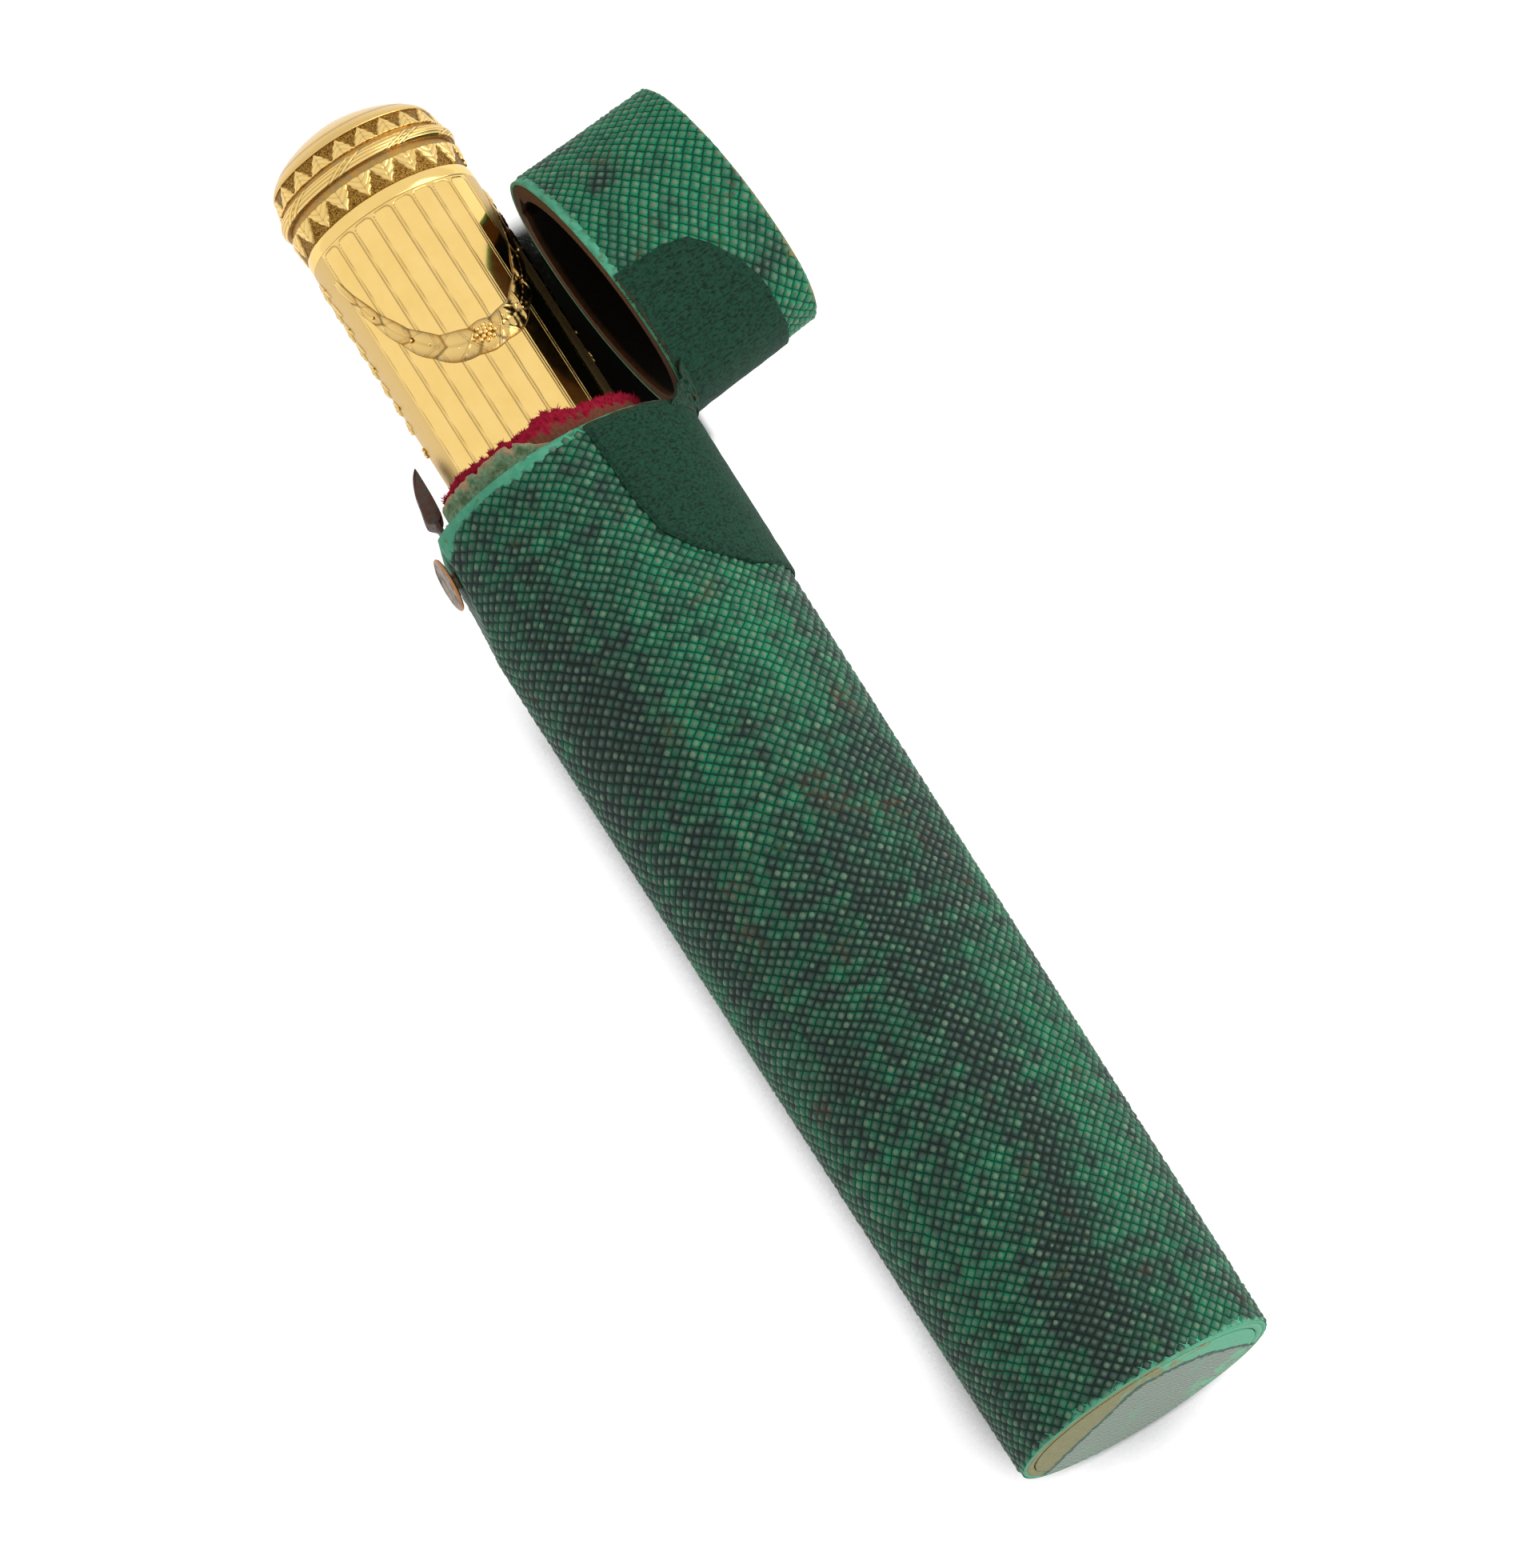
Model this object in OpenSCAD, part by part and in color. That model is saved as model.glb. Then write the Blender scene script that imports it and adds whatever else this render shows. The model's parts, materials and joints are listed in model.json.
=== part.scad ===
// Gold etui in its fitted shagreen case, the case lying on its broad side and open, the etui half drawn out.
// Frame: origin at the middle of the case's base end, +Y along the case to its mouth, +X the hinge side,
// -X the catch side, +Z up. Every section is an oval parallel to that of the etui, so that a wall is
// given by how far it lies outside the etui's own oval.

/* [Etui] */
// Half the width of the etui's oval
etui_half_w = 9.45; // [9.2:0.05:11]
// Half the depth of the etui's oval
etui_half_h = 7.55; // [7.2:0.05:8.2]
// Radius of the oval's narrow ends
etui_end_r = 6.3; // [5.8:0.05:6.8]
// Length of the etui from foot to the boss on its dome
etui_len = 118; // [112:0.5:119]
// How far the boss stands above the case's mouth
etui_rise = 45.5; // [44:0.5:52]
// Thickness of the gold sheet
gold_wall = 0.45; // [0.35:0.05:0.6]
// Length of the cap, from its joint to the boss
cap_len = 47.5; // [44:0.5:60]
// Length of the inner sleeve above the joint
sleeve_rise = 10; // [6:0.5:16]
// Length of the inner sleeve below the joint
sleeve_depth = 8; // [4:0.5:16]
// Thickness of the inner sleeve
sleeve_wall = 0.4; // [0.3:0.05:0.5]
// Running gap between the sleeve and the cap
sleeve_gap = 0.04; // [0.02:0.01:0.08]

/* [Etui ornament] */
// How far the reeded rings stand out from the flutes
ring_swell = 0.5; // [0.4:0.05:0.8]
// Height of a reeded ring
ring_h = 1.3; // [1:0.1:3]
// How far a reeded ring stands out at its two edges
ring_edge = 0.15; // [0.1:0.05:0.3]
// Depth of the grooves between reeds
reed_depth = 0.1; // [0.05:0.01:0.15]
// Reeds on each ring
ring_reeds = 3; // [2:1:4]
// Height of the leaf border at the dome
upper_border_h = 2; // [1.4:0.05:2.2]
// Height of the leaf border below the ring
lower_border_h = 2.4; // [1.6:0.1:2.6]
// Leaves round each border
border_leaves = 20; // [16:4:32]
// Height of the plain groove above the ring
upper_groove_h = 0.6; // [0.4:0.05:0.8]
// Height of the plain groove below the ring
lower_groove_h = 1; // [0.8:0.1:1.6]
// Height of the plain band above the flutes
band_h = 1.5; // [0.8:0.1:1.6]
// Rise of the dome
dome_h = 4.2; // [3:0.1:4.5]
// Height of the boss on the dome
boss_h = 0.3; // [0.2:0.05:0.6]
// Radius of the boss
boss_r = 1.1; // [0.8:0.1:1.6]
// Thickness of the foot plate
foot_plate_h = 1; // [0.8:0.1:1.6]
// Flat flutes on each face
flutes = 8; // [6:1:10]
// Width of one flute along the face
flute_w = 2.3; // [2:0.05:2.4]
// Gap between the two milled lines that part the flutes
line_gap = 0.45; // [0.3:0.05:0.6]
// Width and depth of a milled line
line_size = 0.12; // [0.08:0.01:0.16]
// Height at which the garlands hang from the pilasters, below the plain band
garland_top = 1.2; // [0.6:0.1:3]
// How far the garland sags
garland_sag = 16.6; // [10:0.2:18]
// Widest half width of the garland
garland_half_w = 1.6; // [1:0.1:1.8]
// Thickest part of the garland
garland_thick = 0.6; // [0.4:0.05:0.65]
// Length of the laurel drop on each pilaster
drop_len = 21.5; // [14:0.5:24]
// Half width of the laurel drop
drop_half_w = 1.15; // [0.8:0.05:1.4]

/* [Case body] */
// Length of the case body from base end to mouth
case_len = 108.2; // [106:0.2:112]
// Gap between the reeded ring and the velvet
etui_clear = 0.3; // [0.25:0.05:0.5]
// Thickness of the velvet lining
pile = 1; // [0.6:0.05:1.1]
// How far the lining stands above the mouth
lining_rise = 4.2; // [2.9:0.1:4.4]
// Thickness of the wooden wall at the mouth
core_wall = 2.8; // [2.7:0.05:3.4]
// How much each side of the case draws in towards its base end
case_taper = 1; // [0.4:0.1:1.2]
// Thickness of the shagreen skin
skin_wall = 0.7; // [0.5:0.05:0.9]
// Thickness of the skin on the base end
base_skin_h = 0.45; // [0.3:0.05:0.6]
// Thickness of the wooden base
base_board_h = 1.8; // [1.2:0.1:2.4]
// Thickness of the velvet pad on the floor of the case
floor_pad_h = 0.8; // [0.5:0.1:1]
// Width of the skin's fold over the base end
base_fold = 1.5; // [1:0.1:2]
// Thickness of the neck that the lid slides over
neck_wall = 0.55; // [0.4:0.05:0.7]
// How far the neck stands above the mouth
neck_rise = 3.8; // [2:0.1:4]
// How deep the neck sits in the wall
neck_depth = 8; // [5:0.5:12]
// Slack between pieces that are glued together
seat = 0.02; // [0.01:0.01:0.05]

/* [Lid] */
// Length of the lid
lid_len = 16.5; // [16.2:0.1:20]
// How far the lid stands open in the photographed pose, in degrees
lid_open = 83.3; // [80:0.1:110]
// How much each side of the lid draws in towards its end
lid_taper = 0.25; // [0.1:0.05:0.5]
// Gap between the neck and the inside of the lid
lid_gap = 0.35; // [0.3:0.05:0.5]
// Thickness of the wooden top of the lid
lid_board_h = 1.6; // [1.2:0.1:2]
// Thickness of the lid's velvet
lid_pile = 0.48; // [0.4:0.02:0.5]
// Gap between the lid's rim and the start of its velvet
lid_lining_start = 4.4; // [4.4:0.1:5]

/* [Leather hinge] */
// Thickness of the leather
leather = 0.35; // [0.3:0.05:0.6]
// Half the length of the folded roll
roll_half = 4.5; // [3:0.5:6]
// Gap between the roll and the two patches
roll_gap = 0.05; // [0.04:0.01:0.08]
// Depth of the patch on the case
case_patch_h = 20.3; // [16:0.1:24]
// Depth of the patch on the lid
lid_patch_h = 12.5; // [9:0.1:14]
// Where the patches begin, across the case from its axis
patch_edge_x = 3.5; // [2:0.1:5]

/* [Catch and button] */
// Width of the spring strip
strip_w = 3.1; // [2.6:0.1:3.4]
// Thickness of the spring strip
strip_t = 0.4; // [0.3:0.02:0.44]
// Outer face of the strip, from the case's axis
strip_x = 12.6; // [12.56:0.01:12.62]
// Depth below the mouth at which the strip starts to flex
flex_depth = 20; // [17:0.5:24]
// Length of the strip's riveted foot
foot_len = 7; // [6:0.5:9]
// Diameter of the rivets
rivet_d = 1.2; // [0.8:0.1:1.4]
// Height of the hook's tip above the mouth
hook_tip = 8.9; // [8:0.1:9]
// Height of the hook's barb above the mouth
barb_y = 2.9; // [2.8:0.05:3.2]
// How far the barb stands out from the strip
barb_reach = 0.7; // [0.5:0.05:0.75]
// Diameter of the button's head
button_d = 5.75; // [5:0.05:5.9]
// Thickness of the button's head
button_h = 0.9; // [0.7:0.05:1.2]
// Diameter of the button's shank
shank_d = 1.8; // [1.4:0.1:2.4]
// Running gap round the shank
shank_gap = 0.05; // [0.03:0.01:0.08]
// Depth of the button below the mouth
button_y = 3; // [2.98:0.02:3.6]
// Gap between the button's head and the skin
button_lift = 0.7; // [0.6:0.05:0.9]
// Depth of the hollow in the skin round the button
scoop_depth = 1.15; // [0.9:0.05:1.2]
// How far the hollow reaches below the mouth
scoop_len = 14; // [10:0.5:18]

/* [Hidden] */
$fn = 96;
far = 60;
nick = 0.1;

// The oval is four arcs: two ends round (+-end_c, 0) and two broad sides round (0, -+side_d).
end_c = etui_half_w - etui_end_r;
side_d = (pow(end_c, 2) - pow(etui_half_h - etui_end_r, 2)) / (2 * (etui_half_h - etui_end_r));
side_r = etui_half_h + side_d;
end_angle = atan2(side_d, end_c);
side_slope = end_c / norm([end_c, side_d]);
end_arc = etui_end_r * end_angle * PI / 180;
quarter = end_arc + side_r * (90 - end_angle) * PI / 180;

// Walls, each as its distance outside the etui's oval.
lining_in = ring_swell + etui_clear;
lining_out = lining_in + pile;
bore = lining_out + seat;
neck_in = bore + seat;
neck_out = neck_in + neck_wall;
core_out = bore + core_wall;
skin_out = core_out + skin_wall;
lid_in = neck_out + lid_gap;
hinge_x = etui_half_w + skin_out + leather;
roll_r = leather - roll_gap;

// Places along the case.
base_top = base_skin_h + base_board_h;
floor_top = base_top + floor_pad_h;
lid_end = case_len + lid_len;
lid_board_y = lid_end - base_skin_h - lid_board_h;

// Places along the etui, from the base end of the case.
apex_y = case_len + etui_rise;
foot_y = apex_y - etui_len;
joint_y = apex_y - cap_len;
dome_top = apex_y - boss_h;
dome_y = dome_top - dome_h;
upper_border_y = dome_y - upper_border_h;
ring_top = upper_border_y - upper_groove_h;
ring_y = ring_top - ring_h;
lower_border_top = ring_y - lower_groove_h;
lower_border_y = lower_border_top - lower_border_h;
flute_top = lower_border_y - band_h;
head_in = 0.25;
head_out = -head_in;
dome_out = -0.42;
foot_ring_y = foot_y + foot_plate_h;
foot_border_y = foot_ring_y + ring_h + upper_groove_h;
foot_band_y = foot_border_y + lower_border_h;
foot_flute_y = foot_band_y + band_h;

// Catch.
strip_in = strip_x - strip_t;
flex_y = case_len - flex_depth;
slot_half = strip_w / 2 + 0.4;
barb_top = case_len + barb_y + 1.1;
strike_x = strip_x + 0.2;
pocket_x = strip_x + 1;
scoop_r = pow(scoop_len - 1, 2) / (2 * scoop_depth);
scoop_x = etui_half_w + skin_out - scoop_depth + scoop_r;
button_x = etui_half_w + skin_out - scoop_depth + button_lift;
shank_tip = strip_x + 0.06;

gold = [0.83, 0.68, 0.38];
green_skin = [0.42, 0.58, 0.47];
wood = [0.72, 0.52, 0.34];
velvet = [0.62, 0.06, 0.22];
leather_green = [0.13, 0.33, 0.28];
iron = [0.30, 0.22, 0.17];

function case_t(t, y) = t - case_taper * (1 - y / case_len);
function lid_t(t, y) = t - lid_taper * (y - case_len) / lid_len;

// Normal direction, in degrees, at a length of arc from the oval's +X end, and a point t outside it there.
function quarter_normal(s) =
  s < end_arc ? s / etui_end_r * 180 / PI : end_angle + (s - end_arc) / side_r * 180 / PI;
function wrap(s) = s - 4 * quarter * floor(s / (4 * quarter));
function normal_at(s) =
  let (w = wrap(s), q = floor(w / quarter), rest = w - q * quarter)
  q % 2 == 0 ? q * 90 + quarter_normal(rest) : (q + 1) * 90 - quarter_normal(quarter - rest);
function on_end(n) = abs(sin(n)) < sin(end_angle);
function arc_centre(n) = on_end(n) ? [sign(cos(n)) * end_c, 0] : [0, -sign(sin(n)) * side_d];
function arc_radius(n) = on_end(n) ? etui_end_r : side_r;
function oval_point(n, t) = arc_centre(n) + (arc_radius(n) + t) * [cos(n), sin(n)];

// A profile is a list of [place along the axis, distance outside the oval].
module lathe(profile, radius)
  rotate_extrude($fn = 180) polygon(concat(
    [[0, profile[0][0]]],
    [for (p = profile) [radius + p[1], p[0]]],
    [[0, profile[len(profile) - 1][0]]]));

// Solid whose every section is an oval parallel to the etui's. The broad sides are two turned solids cut
// back to a slab that ends where the narrow ends take over.
module turned(profile) {
  last = len(profile) - 1;
  intersection() {
    translate([0, side_d, 0]) lathe(profile, side_r);
    translate([0, -side_d, 0]) lathe(profile, side_r);
    rotate([90, 0, 0]) linear_extrude(4 * side_r, center = true) polygon(concat(
      [for (p = profile) [(side_r + p[1]) * side_slope, p[0]]],
      [for (i = [last:-1:0]) [-(side_r + profile[i][1]) * side_slope, profile[i][0]]]));
  }
  for (side = [1, -1]) translate([side * end_c, 0, 0]) lathe(profile, etui_end_r);
}

module collar(profile, inner) difference() {
  turned(profile);
  turned([[profile[0][0] - 1, inner], [profile[len(profile) - 1][0] + 1, inner]]);
}

// Standing pieces have their axis along Z and are laid down along +Y. The lid is then swung open.
module lying() rotate([-90, 0, 0]) children();
module swung() translate([hinge_x, case_len, 0]) rotate([0, 0, -lid_open])
  translate([-hinge_x, -case_len, 0]) lying() children();

// Places a child at a length of arc round the oval, its X along the normal and its Z along the axis.
module at_arc(s, z, t = 0) {
  n = normal_at(s);
  p = oval_point(n, t);
  translate([p[0], p[1], z]) rotate([0, 0, n]) children();
}

// Box on the catch side, given as x from and to (both measured outwards), half width and places along.
module catch_box(x_in, x_out, half, y0, y1)
  translate([-x_out, -half, y0]) cube([x_out - x_in, 2 * half, y1 - y0]);

module scoop(inset) translate([-scoop_x, 0, case_len - 1]) rotate([90, 0, 0])
  cylinder(r = scoop_r + inset, h = far, center = true, $fn = 360);

module button_hole(d) translate([0, 0, case_len - button_y]) rotate([0, -90, 0])
  cylinder(d = d, h = far, $fn = 64);

module rivet_rows(d, x0, x1)
  for (y = [0.3, 0.72]) translate([-x0, 0, flex_y - foot_len * y]) rotate([0, -90, 0])
    cylinder(d = d, h = x1 - x0, $fn = 48);

// Case body.
module case_core() color(wood) lying() difference() {
  turned([[base_top, case_t(core_out, base_top) - seat], [case_len, core_out - seat]]);
  turned([[base_top - 1, bore], [case_len + 1, bore]]);
  turned([[case_len - neck_depth, neck_out + seat], [case_len + 1, neck_out + seat]]);
  catch_box(0, strip_x + 0.05, slot_half, flex_y - foot_len - 0.1, case_len + 1);
  rivet_rows(rivet_d + 2 * seat, strip_in, strip_x + 1.04);
  button_hole(shank_d + 2 * shank_gap);
  scoop(skin_wall + seat);
}

module case_skin() color(green_skin) lying() difference() {
  turned([
    [0.05, case_t(skin_out, 0) - 0.35], [0.18, case_t(skin_out, 0) - 0.1],
    [0.5, case_t(skin_out, 0.5)], [case_len, skin_out]
  ]);
  difference() {
    turned([[base_skin_h, case_t(core_out, base_skin_h)], [case_len + 1, case_t(core_out, case_len + 1)]]);
    scoop(skin_wall);
  }
  turned([[-1, case_t(skin_out, 0) - base_fold], [1, case_t(skin_out, 0) - base_fold]]);
  scoop(0);
  button_hole(shank_d + 2 * shank_gap);
}

module base_board() color(wood) lying()
  turned([[base_skin_h, case_t(core_out, base_skin_h) - seat], [base_top, case_t(core_out, base_top) - seat]]);

module base_skin() color([0.62, 0.68, 0.6]) lying()
  turned([[0, case_t(skin_out, 0) - base_fold - 0.1], [base_skin_h, case_t(skin_out, 0) - base_fold - 0.1]]);

module case_neck() color([0.45, 0.47, 0.36]) lying() difference() {
  collar([
    [case_len - neck_depth, neck_out], [case_len + neck_rise - 0.25, neck_out],
    [case_len + neck_rise, neck_out - 0.2]
  ], neck_in);
  catch_box(0, strip_x + 1, slot_half, case_len - neck_depth - 1, case_len + neck_rise + 1);
}

module case_lining() color(velvet) lying() difference() {
  turned([
    [floor_top + seat, lining_out], [case_len + lining_rise - 0.3, lining_out],
    [case_len + lining_rise, lining_out - 0.25]
  ]);
  turned([
    [floor_top - 1, lining_in], [case_len + lining_rise - 0.3, lining_in],
    [case_len + lining_rise + 0.1, lining_in + 0.3]
  ]);
  catch_box(0, strip_x, slot_half, case_len + barb_y - 0.3, case_len + lining_rise + 1);
}

module case_floor_pad() color(velvet) lying()
  turned([[base_top, bore - seat], [floor_top, bore - seat]]);

module catch_foot() color(iron) lying() difference() {
  catch_box(strip_in, strip_x, strip_w / 2, flex_y - foot_len, flex_y - 0.1);
  rivet_rows(rivet_d, strip_in - 1, strip_x + 1);
}

module catch_rivets() color(iron) lying() {
  rivet_rows(rivet_d, strip_in, strip_x + 1);
  rivet_rows(rivet_d * 1.6, strip_in - 0.25, strip_in);
}

// Leather hinge. Each patch is a slice of a leather-thick coat over the skin, cut to its outline.
module coat(case_side) difference() {
  turned(case_side
    ? [[0, case_t(skin_out, 0) + leather], [case_len, skin_out + leather]]
    : [[case_len, skin_out + leather], [lid_end, lid_t(skin_out, lid_end) + leather]]);
  turned(case_side
    ? [[-1, case_t(skin_out, -1) + seat], [case_len + 1, case_t(skin_out, case_len + 1) + seat]]
    : [[case_len - 1, lid_t(skin_out, case_len - 1) + seat], [lid_end + 1, lid_t(skin_out, lid_end + 1) + seat]]);
}

// Outline of a patch seen along the case's short axis, as shares of its depth from the fold.
module patch_outline(depth) rotate([90, 0, 0]) linear_extrude(far, center = true) polygon([
  [patch_edge_x, 0], [patch_edge_x + 0.3, 0.33 * depth], [patch_edge_x + 0.4, 0.46 * depth],
  [patch_edge_x + 1.1, 0.66 * depth], [patch_edge_x + 3.1, 0.8 * depth], [patch_edge_x + 5.2, 0.89 * depth],
  [patch_edge_x + 7.9, 0.98 * depth], [hinge_x - 0.6, depth], [hinge_x + 1, depth], [hinge_x + 1, 0]
]);

module roll_clear() translate([hinge_x, 0, case_len]) rotate([90, 0, 0])
  cylinder(r = roll_r + roll_gap, h = far, center = true, $fn = 64);

module hinge_patch_case() color(leather_green) lying() difference() {
  intersection() {
    coat(true);
    translate([0, 0, case_len]) mirror([0, 0, 1]) patch_outline(case_patch_h);
  }
  roll_clear();
}

module hinge_patch_lid() color(leather_green) swung() difference() {
  intersection() {
    coat(false);
    translate([0, 0, case_len]) patch_outline(lid_patch_h);
  }
  roll_clear();
}

module hinge_roll() color(leather_green) translate([hinge_x, case_len, 0])
  cylinder(r = roll_r, h = 2 * roll_half, center = true, $fn = 64);

// Lid, drawn shut and swung open.
module lid_core() color(wood) swung() difference() {
  turned([[case_len, core_out - seat], [lid_board_y, lid_t(core_out, lid_board_y) - seat]]);
  turned([[case_len - 1, lid_in], [lid_board_y + 1, lid_in]]);
  catch_box(0, pocket_x, slot_half + 0.25, case_len + barb_y - 0.1, case_len + hook_tip + 0.3);
  catch_box(0, strip_x + 0.25, slot_half, case_len - 1, case_len + barb_y);
  catch_box(strike_x, pocket_x, 3 + seat, case_len + 1.4, case_len + 2.6 + seat);
}

module lid_skin() color(green_skin) swung() difference() {
  turned([
    [case_len, skin_out], [lid_end - 0.55, lid_t(skin_out, lid_end - 0.55)],
    [lid_end - 0.2, lid_t(skin_out, lid_end) - 0.12], [lid_end - 0.05, lid_t(skin_out, lid_end) - 0.4]
  ]);
  turned([
    [case_len - 1, lid_t(core_out, case_len - 1)],
    [lid_end - base_skin_h, lid_t(core_out, lid_end - base_skin_h)]
  ]);
  turned([[lid_end - 1, lid_t(skin_out, lid_end) - base_fold], [lid_end + 1, lid_t(skin_out, lid_end) - base_fold]]);
}

module lid_top_board() color(wood) swung() turned([
  [lid_board_y, lid_t(core_out, lid_board_y) - seat],
  [lid_end - base_skin_h, lid_t(core_out, lid_end - base_skin_h) - seat]
]);

module lid_top_skin() color([0.62, 0.68, 0.6]) swung() turned([
  [lid_end - base_skin_h, lid_t(skin_out, lid_end) - base_fold - 0.1],
  [lid_end, lid_t(skin_out, lid_end) - base_fold - 0.1]
]);

module lid_lining() color(velvet) swung() difference() {
  turned([[case_len + lid_lining_start, lid_in - seat], [lid_board_y, lid_in - seat]]);
  turned([[case_len + lid_lining_start - 1, lid_in - lid_pile], [lid_board_y - lid_pile, lid_in - lid_pile]]);
  catch_box(0, pocket_x, slot_half + 0.25, case_len, case_len + hook_tip + 0.3);
}

module lid_strike() color(iron) swung()
  catch_box(strike_x + seat, pocket_x - seat, 3, case_len + 1.4 + seat, case_len + 2.6);

// Etui. The reeds stand on the arched body of the ring, four steps to a reed.
module reeded_ring(y0) {
  steps = 4 * ring_reeds;
  collar([for (i = [0:steps]) [
    y0 + ring_h * i / steps,
    ring_edge + (ring_swell - ring_edge - reed_depth) * sin(180 * i / steps) + (i % 4 == 0 ? 0 : reed_depth)
  ]], head_out + seat);
}

// A band whose open edge is cut into pointed leaves. points is 1 where they point up the etui, or -1.
module leaf_border(y0, height, low, high, points) difference() {
  collar([[y0, low], [y0 + height, high]], min(low, high) - 0.14);
  for (i = [0:border_leaves - 1])
    at_arc((i + 0.5) * 4 * quarter / border_leaves, points > 0 ? y0 + height : y0, -2)
      rotate([90, 0, 90]) linear_extrude(4) polygon([
        [-1.7 * quarter / border_leaves, points * 0.1], [1.7 * quarter / border_leaves, points * 0.1],
        [0, -points * 0.62 * height]
      ]);
}

// The double milled lines between the flutes of both faces.
module milled_lines(y0, y1) for (face = [1, 3], i = [0:flutes], side = [1, -1])
  at_arc(face * quarter + (i - flutes / 2) * flute_w + side * line_gap / 2, y0)
    translate([-line_size, -line_size / 2, 0]) cube([1, line_size, y1 - y0]);

module etui_tube() color(gold) lying() difference() {
  turned([
    [foot_ring_y, head_out], [foot_flute_y, head_out], [foot_flute_y, 0], [joint_y, 0]
  ]);
  turned([
    [foot_y, head_out - gold_wall], [foot_flute_y + 0.5, head_out - gold_wall],
    [foot_flute_y + 0.5, -gold_wall], [joint_y + 1, -gold_wall]
  ]);
  milled_lines(foot_flute_y + 0.6, joint_y - 0.4);
}

module etui_sleeve() color(gold) lying() collar([
  [joint_y - sleeve_depth, -gold_wall - sleeve_gap], [joint_y + sleeve_rise - 0.3, -gold_wall - sleeve_gap],
  [joint_y + sleeve_rise, -gold_wall - sleeve_gap - 0.15]
], -gold_wall - sleeve_gap - sleeve_wall);

module etui_foot_plate() color(gold) lying() turned([
  [foot_y, -0.4], [foot_y + 0.3, -0.1], [foot_ring_y, -0.1]
]);
module etui_foot_ring() color(gold) lying() reeded_ring(foot_ring_y);
module etui_foot_border() color(gold) lying() leaf_border(foot_border_y, lower_border_h, -0.09, 0.12, 1);
module etui_foot_band() color(gold) lying()
  collar([[foot_band_y + seat, -0.1], [foot_flute_y - seat, -0.1]], head_out + seat);

// Cap.
module cap_tube() color(gold) lying() difference() {
  turned([[joint_y, 0], [flute_top, 0], [flute_top, head_out], [upper_border_y + 0.02, head_out],
    [dome_y, dome_out - 0.16]]);
  turned([
    [joint_y - 1, -gold_wall], [flute_top - 0.5, -gold_wall],
    [flute_top - 0.5, head_out - gold_wall], [dome_y + 1, head_out - gold_wall]
  ]);
  milled_lines(joint_y + 0.4, flute_top - 0.9);
}

module cap_band() color(gold) lying()
  collar([[flute_top + seat, -0.1], [lower_border_y - seat, -0.1]], head_out + seat);
module cap_lower_border() color(gold) lying() leaf_border(lower_border_y, lower_border_h, -0.09, 0.25, -1);
module cap_reeded_ring() color(gold) lying() reeded_ring(ring_y);
module cap_upper_border() color(gold) lying() difference() {
  leaf_border(upper_border_y, upper_border_h, -0.1, dome_out + 0.02, 1);
  turned([[upper_border_y - 1, head_out + seat], [upper_border_y + 0.02, head_out + seat],
    [dome_y + nick, dome_out - 0.15]]);
}

// Shell over the cap: level v of its rise has a section scaled by (1 - v^p)^(1/p), which is rounder on the
// shoulder than a cone and flatter than a ball.
dome_sides = 40;
dome_levels = 7;
dome_p = 1.55;
function dome_scale(v) = pow(1 - pow(v, dome_p), 1 / dome_p);
function dome_rings(t, rise) = [
  for (k = [0:dome_levels - 1], j = [0:dome_sides - 1])
    let (v = sin(90 * k / dome_levels), p = oval_point(normal_at(4 * quarter * j / dome_sides), t) * dome_scale(v))
    [p[0], p[1], dome_y + rise * v]
];
function at(layer, k, j) = (layer * dome_levels + k) * dome_sides + j % dome_sides;
module cap_dome() color(gold) lying() {
  shell = dome_levels * dome_sides;
  outer = dome_rings(dome_out, dome_h);
  inner = dome_rings(dome_out - gold_wall, dome_h - gold_wall);
  points = concat(outer, inner, [[0, 0, dome_top], [0, 0, dome_top - gold_wall]]);
  polyhedron(points, concat(
    [for (k = [0:dome_levels - 2], j = [0:dome_sides - 1]) each [
      [at(0, k, j), at(0, k + 1, j), at(0, k + 1, j + 1)], [at(0, k, j), at(0, k + 1, j + 1), at(0, k, j + 1)],
      [at(1, k, j), at(1, k + 1, j + 1), at(1, k + 1, j)], [at(1, k, j), at(1, k, j + 1), at(1, k + 1, j + 1)]
    ]],
    [for (j = [0:dome_sides - 1]) each [
      [at(0, dome_levels - 1, j), 2 * shell, at(0, dome_levels - 1, j + 1)],
      [at(1, dome_levels - 1, j), at(1, dome_levels - 1, j + 1), 2 * shell + 1],
      [at(0, 0, j), at(0, 0, j + 1), at(1, 0, j + 1)], [at(0, 0, j), at(1, 0, j + 1), at(1, 0, j)]
    ]]
  ));
}

module cap_boss() color(gold) lying() rotate_extrude($fn = 64) polygon([
  [0, dome_top], [boss_r, dome_top], [boss_r, dome_top + 0.4 * boss_h],
  [0.6 * boss_r, dome_top + 0.85 * boss_h], [0, apex_y]
]);

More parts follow.
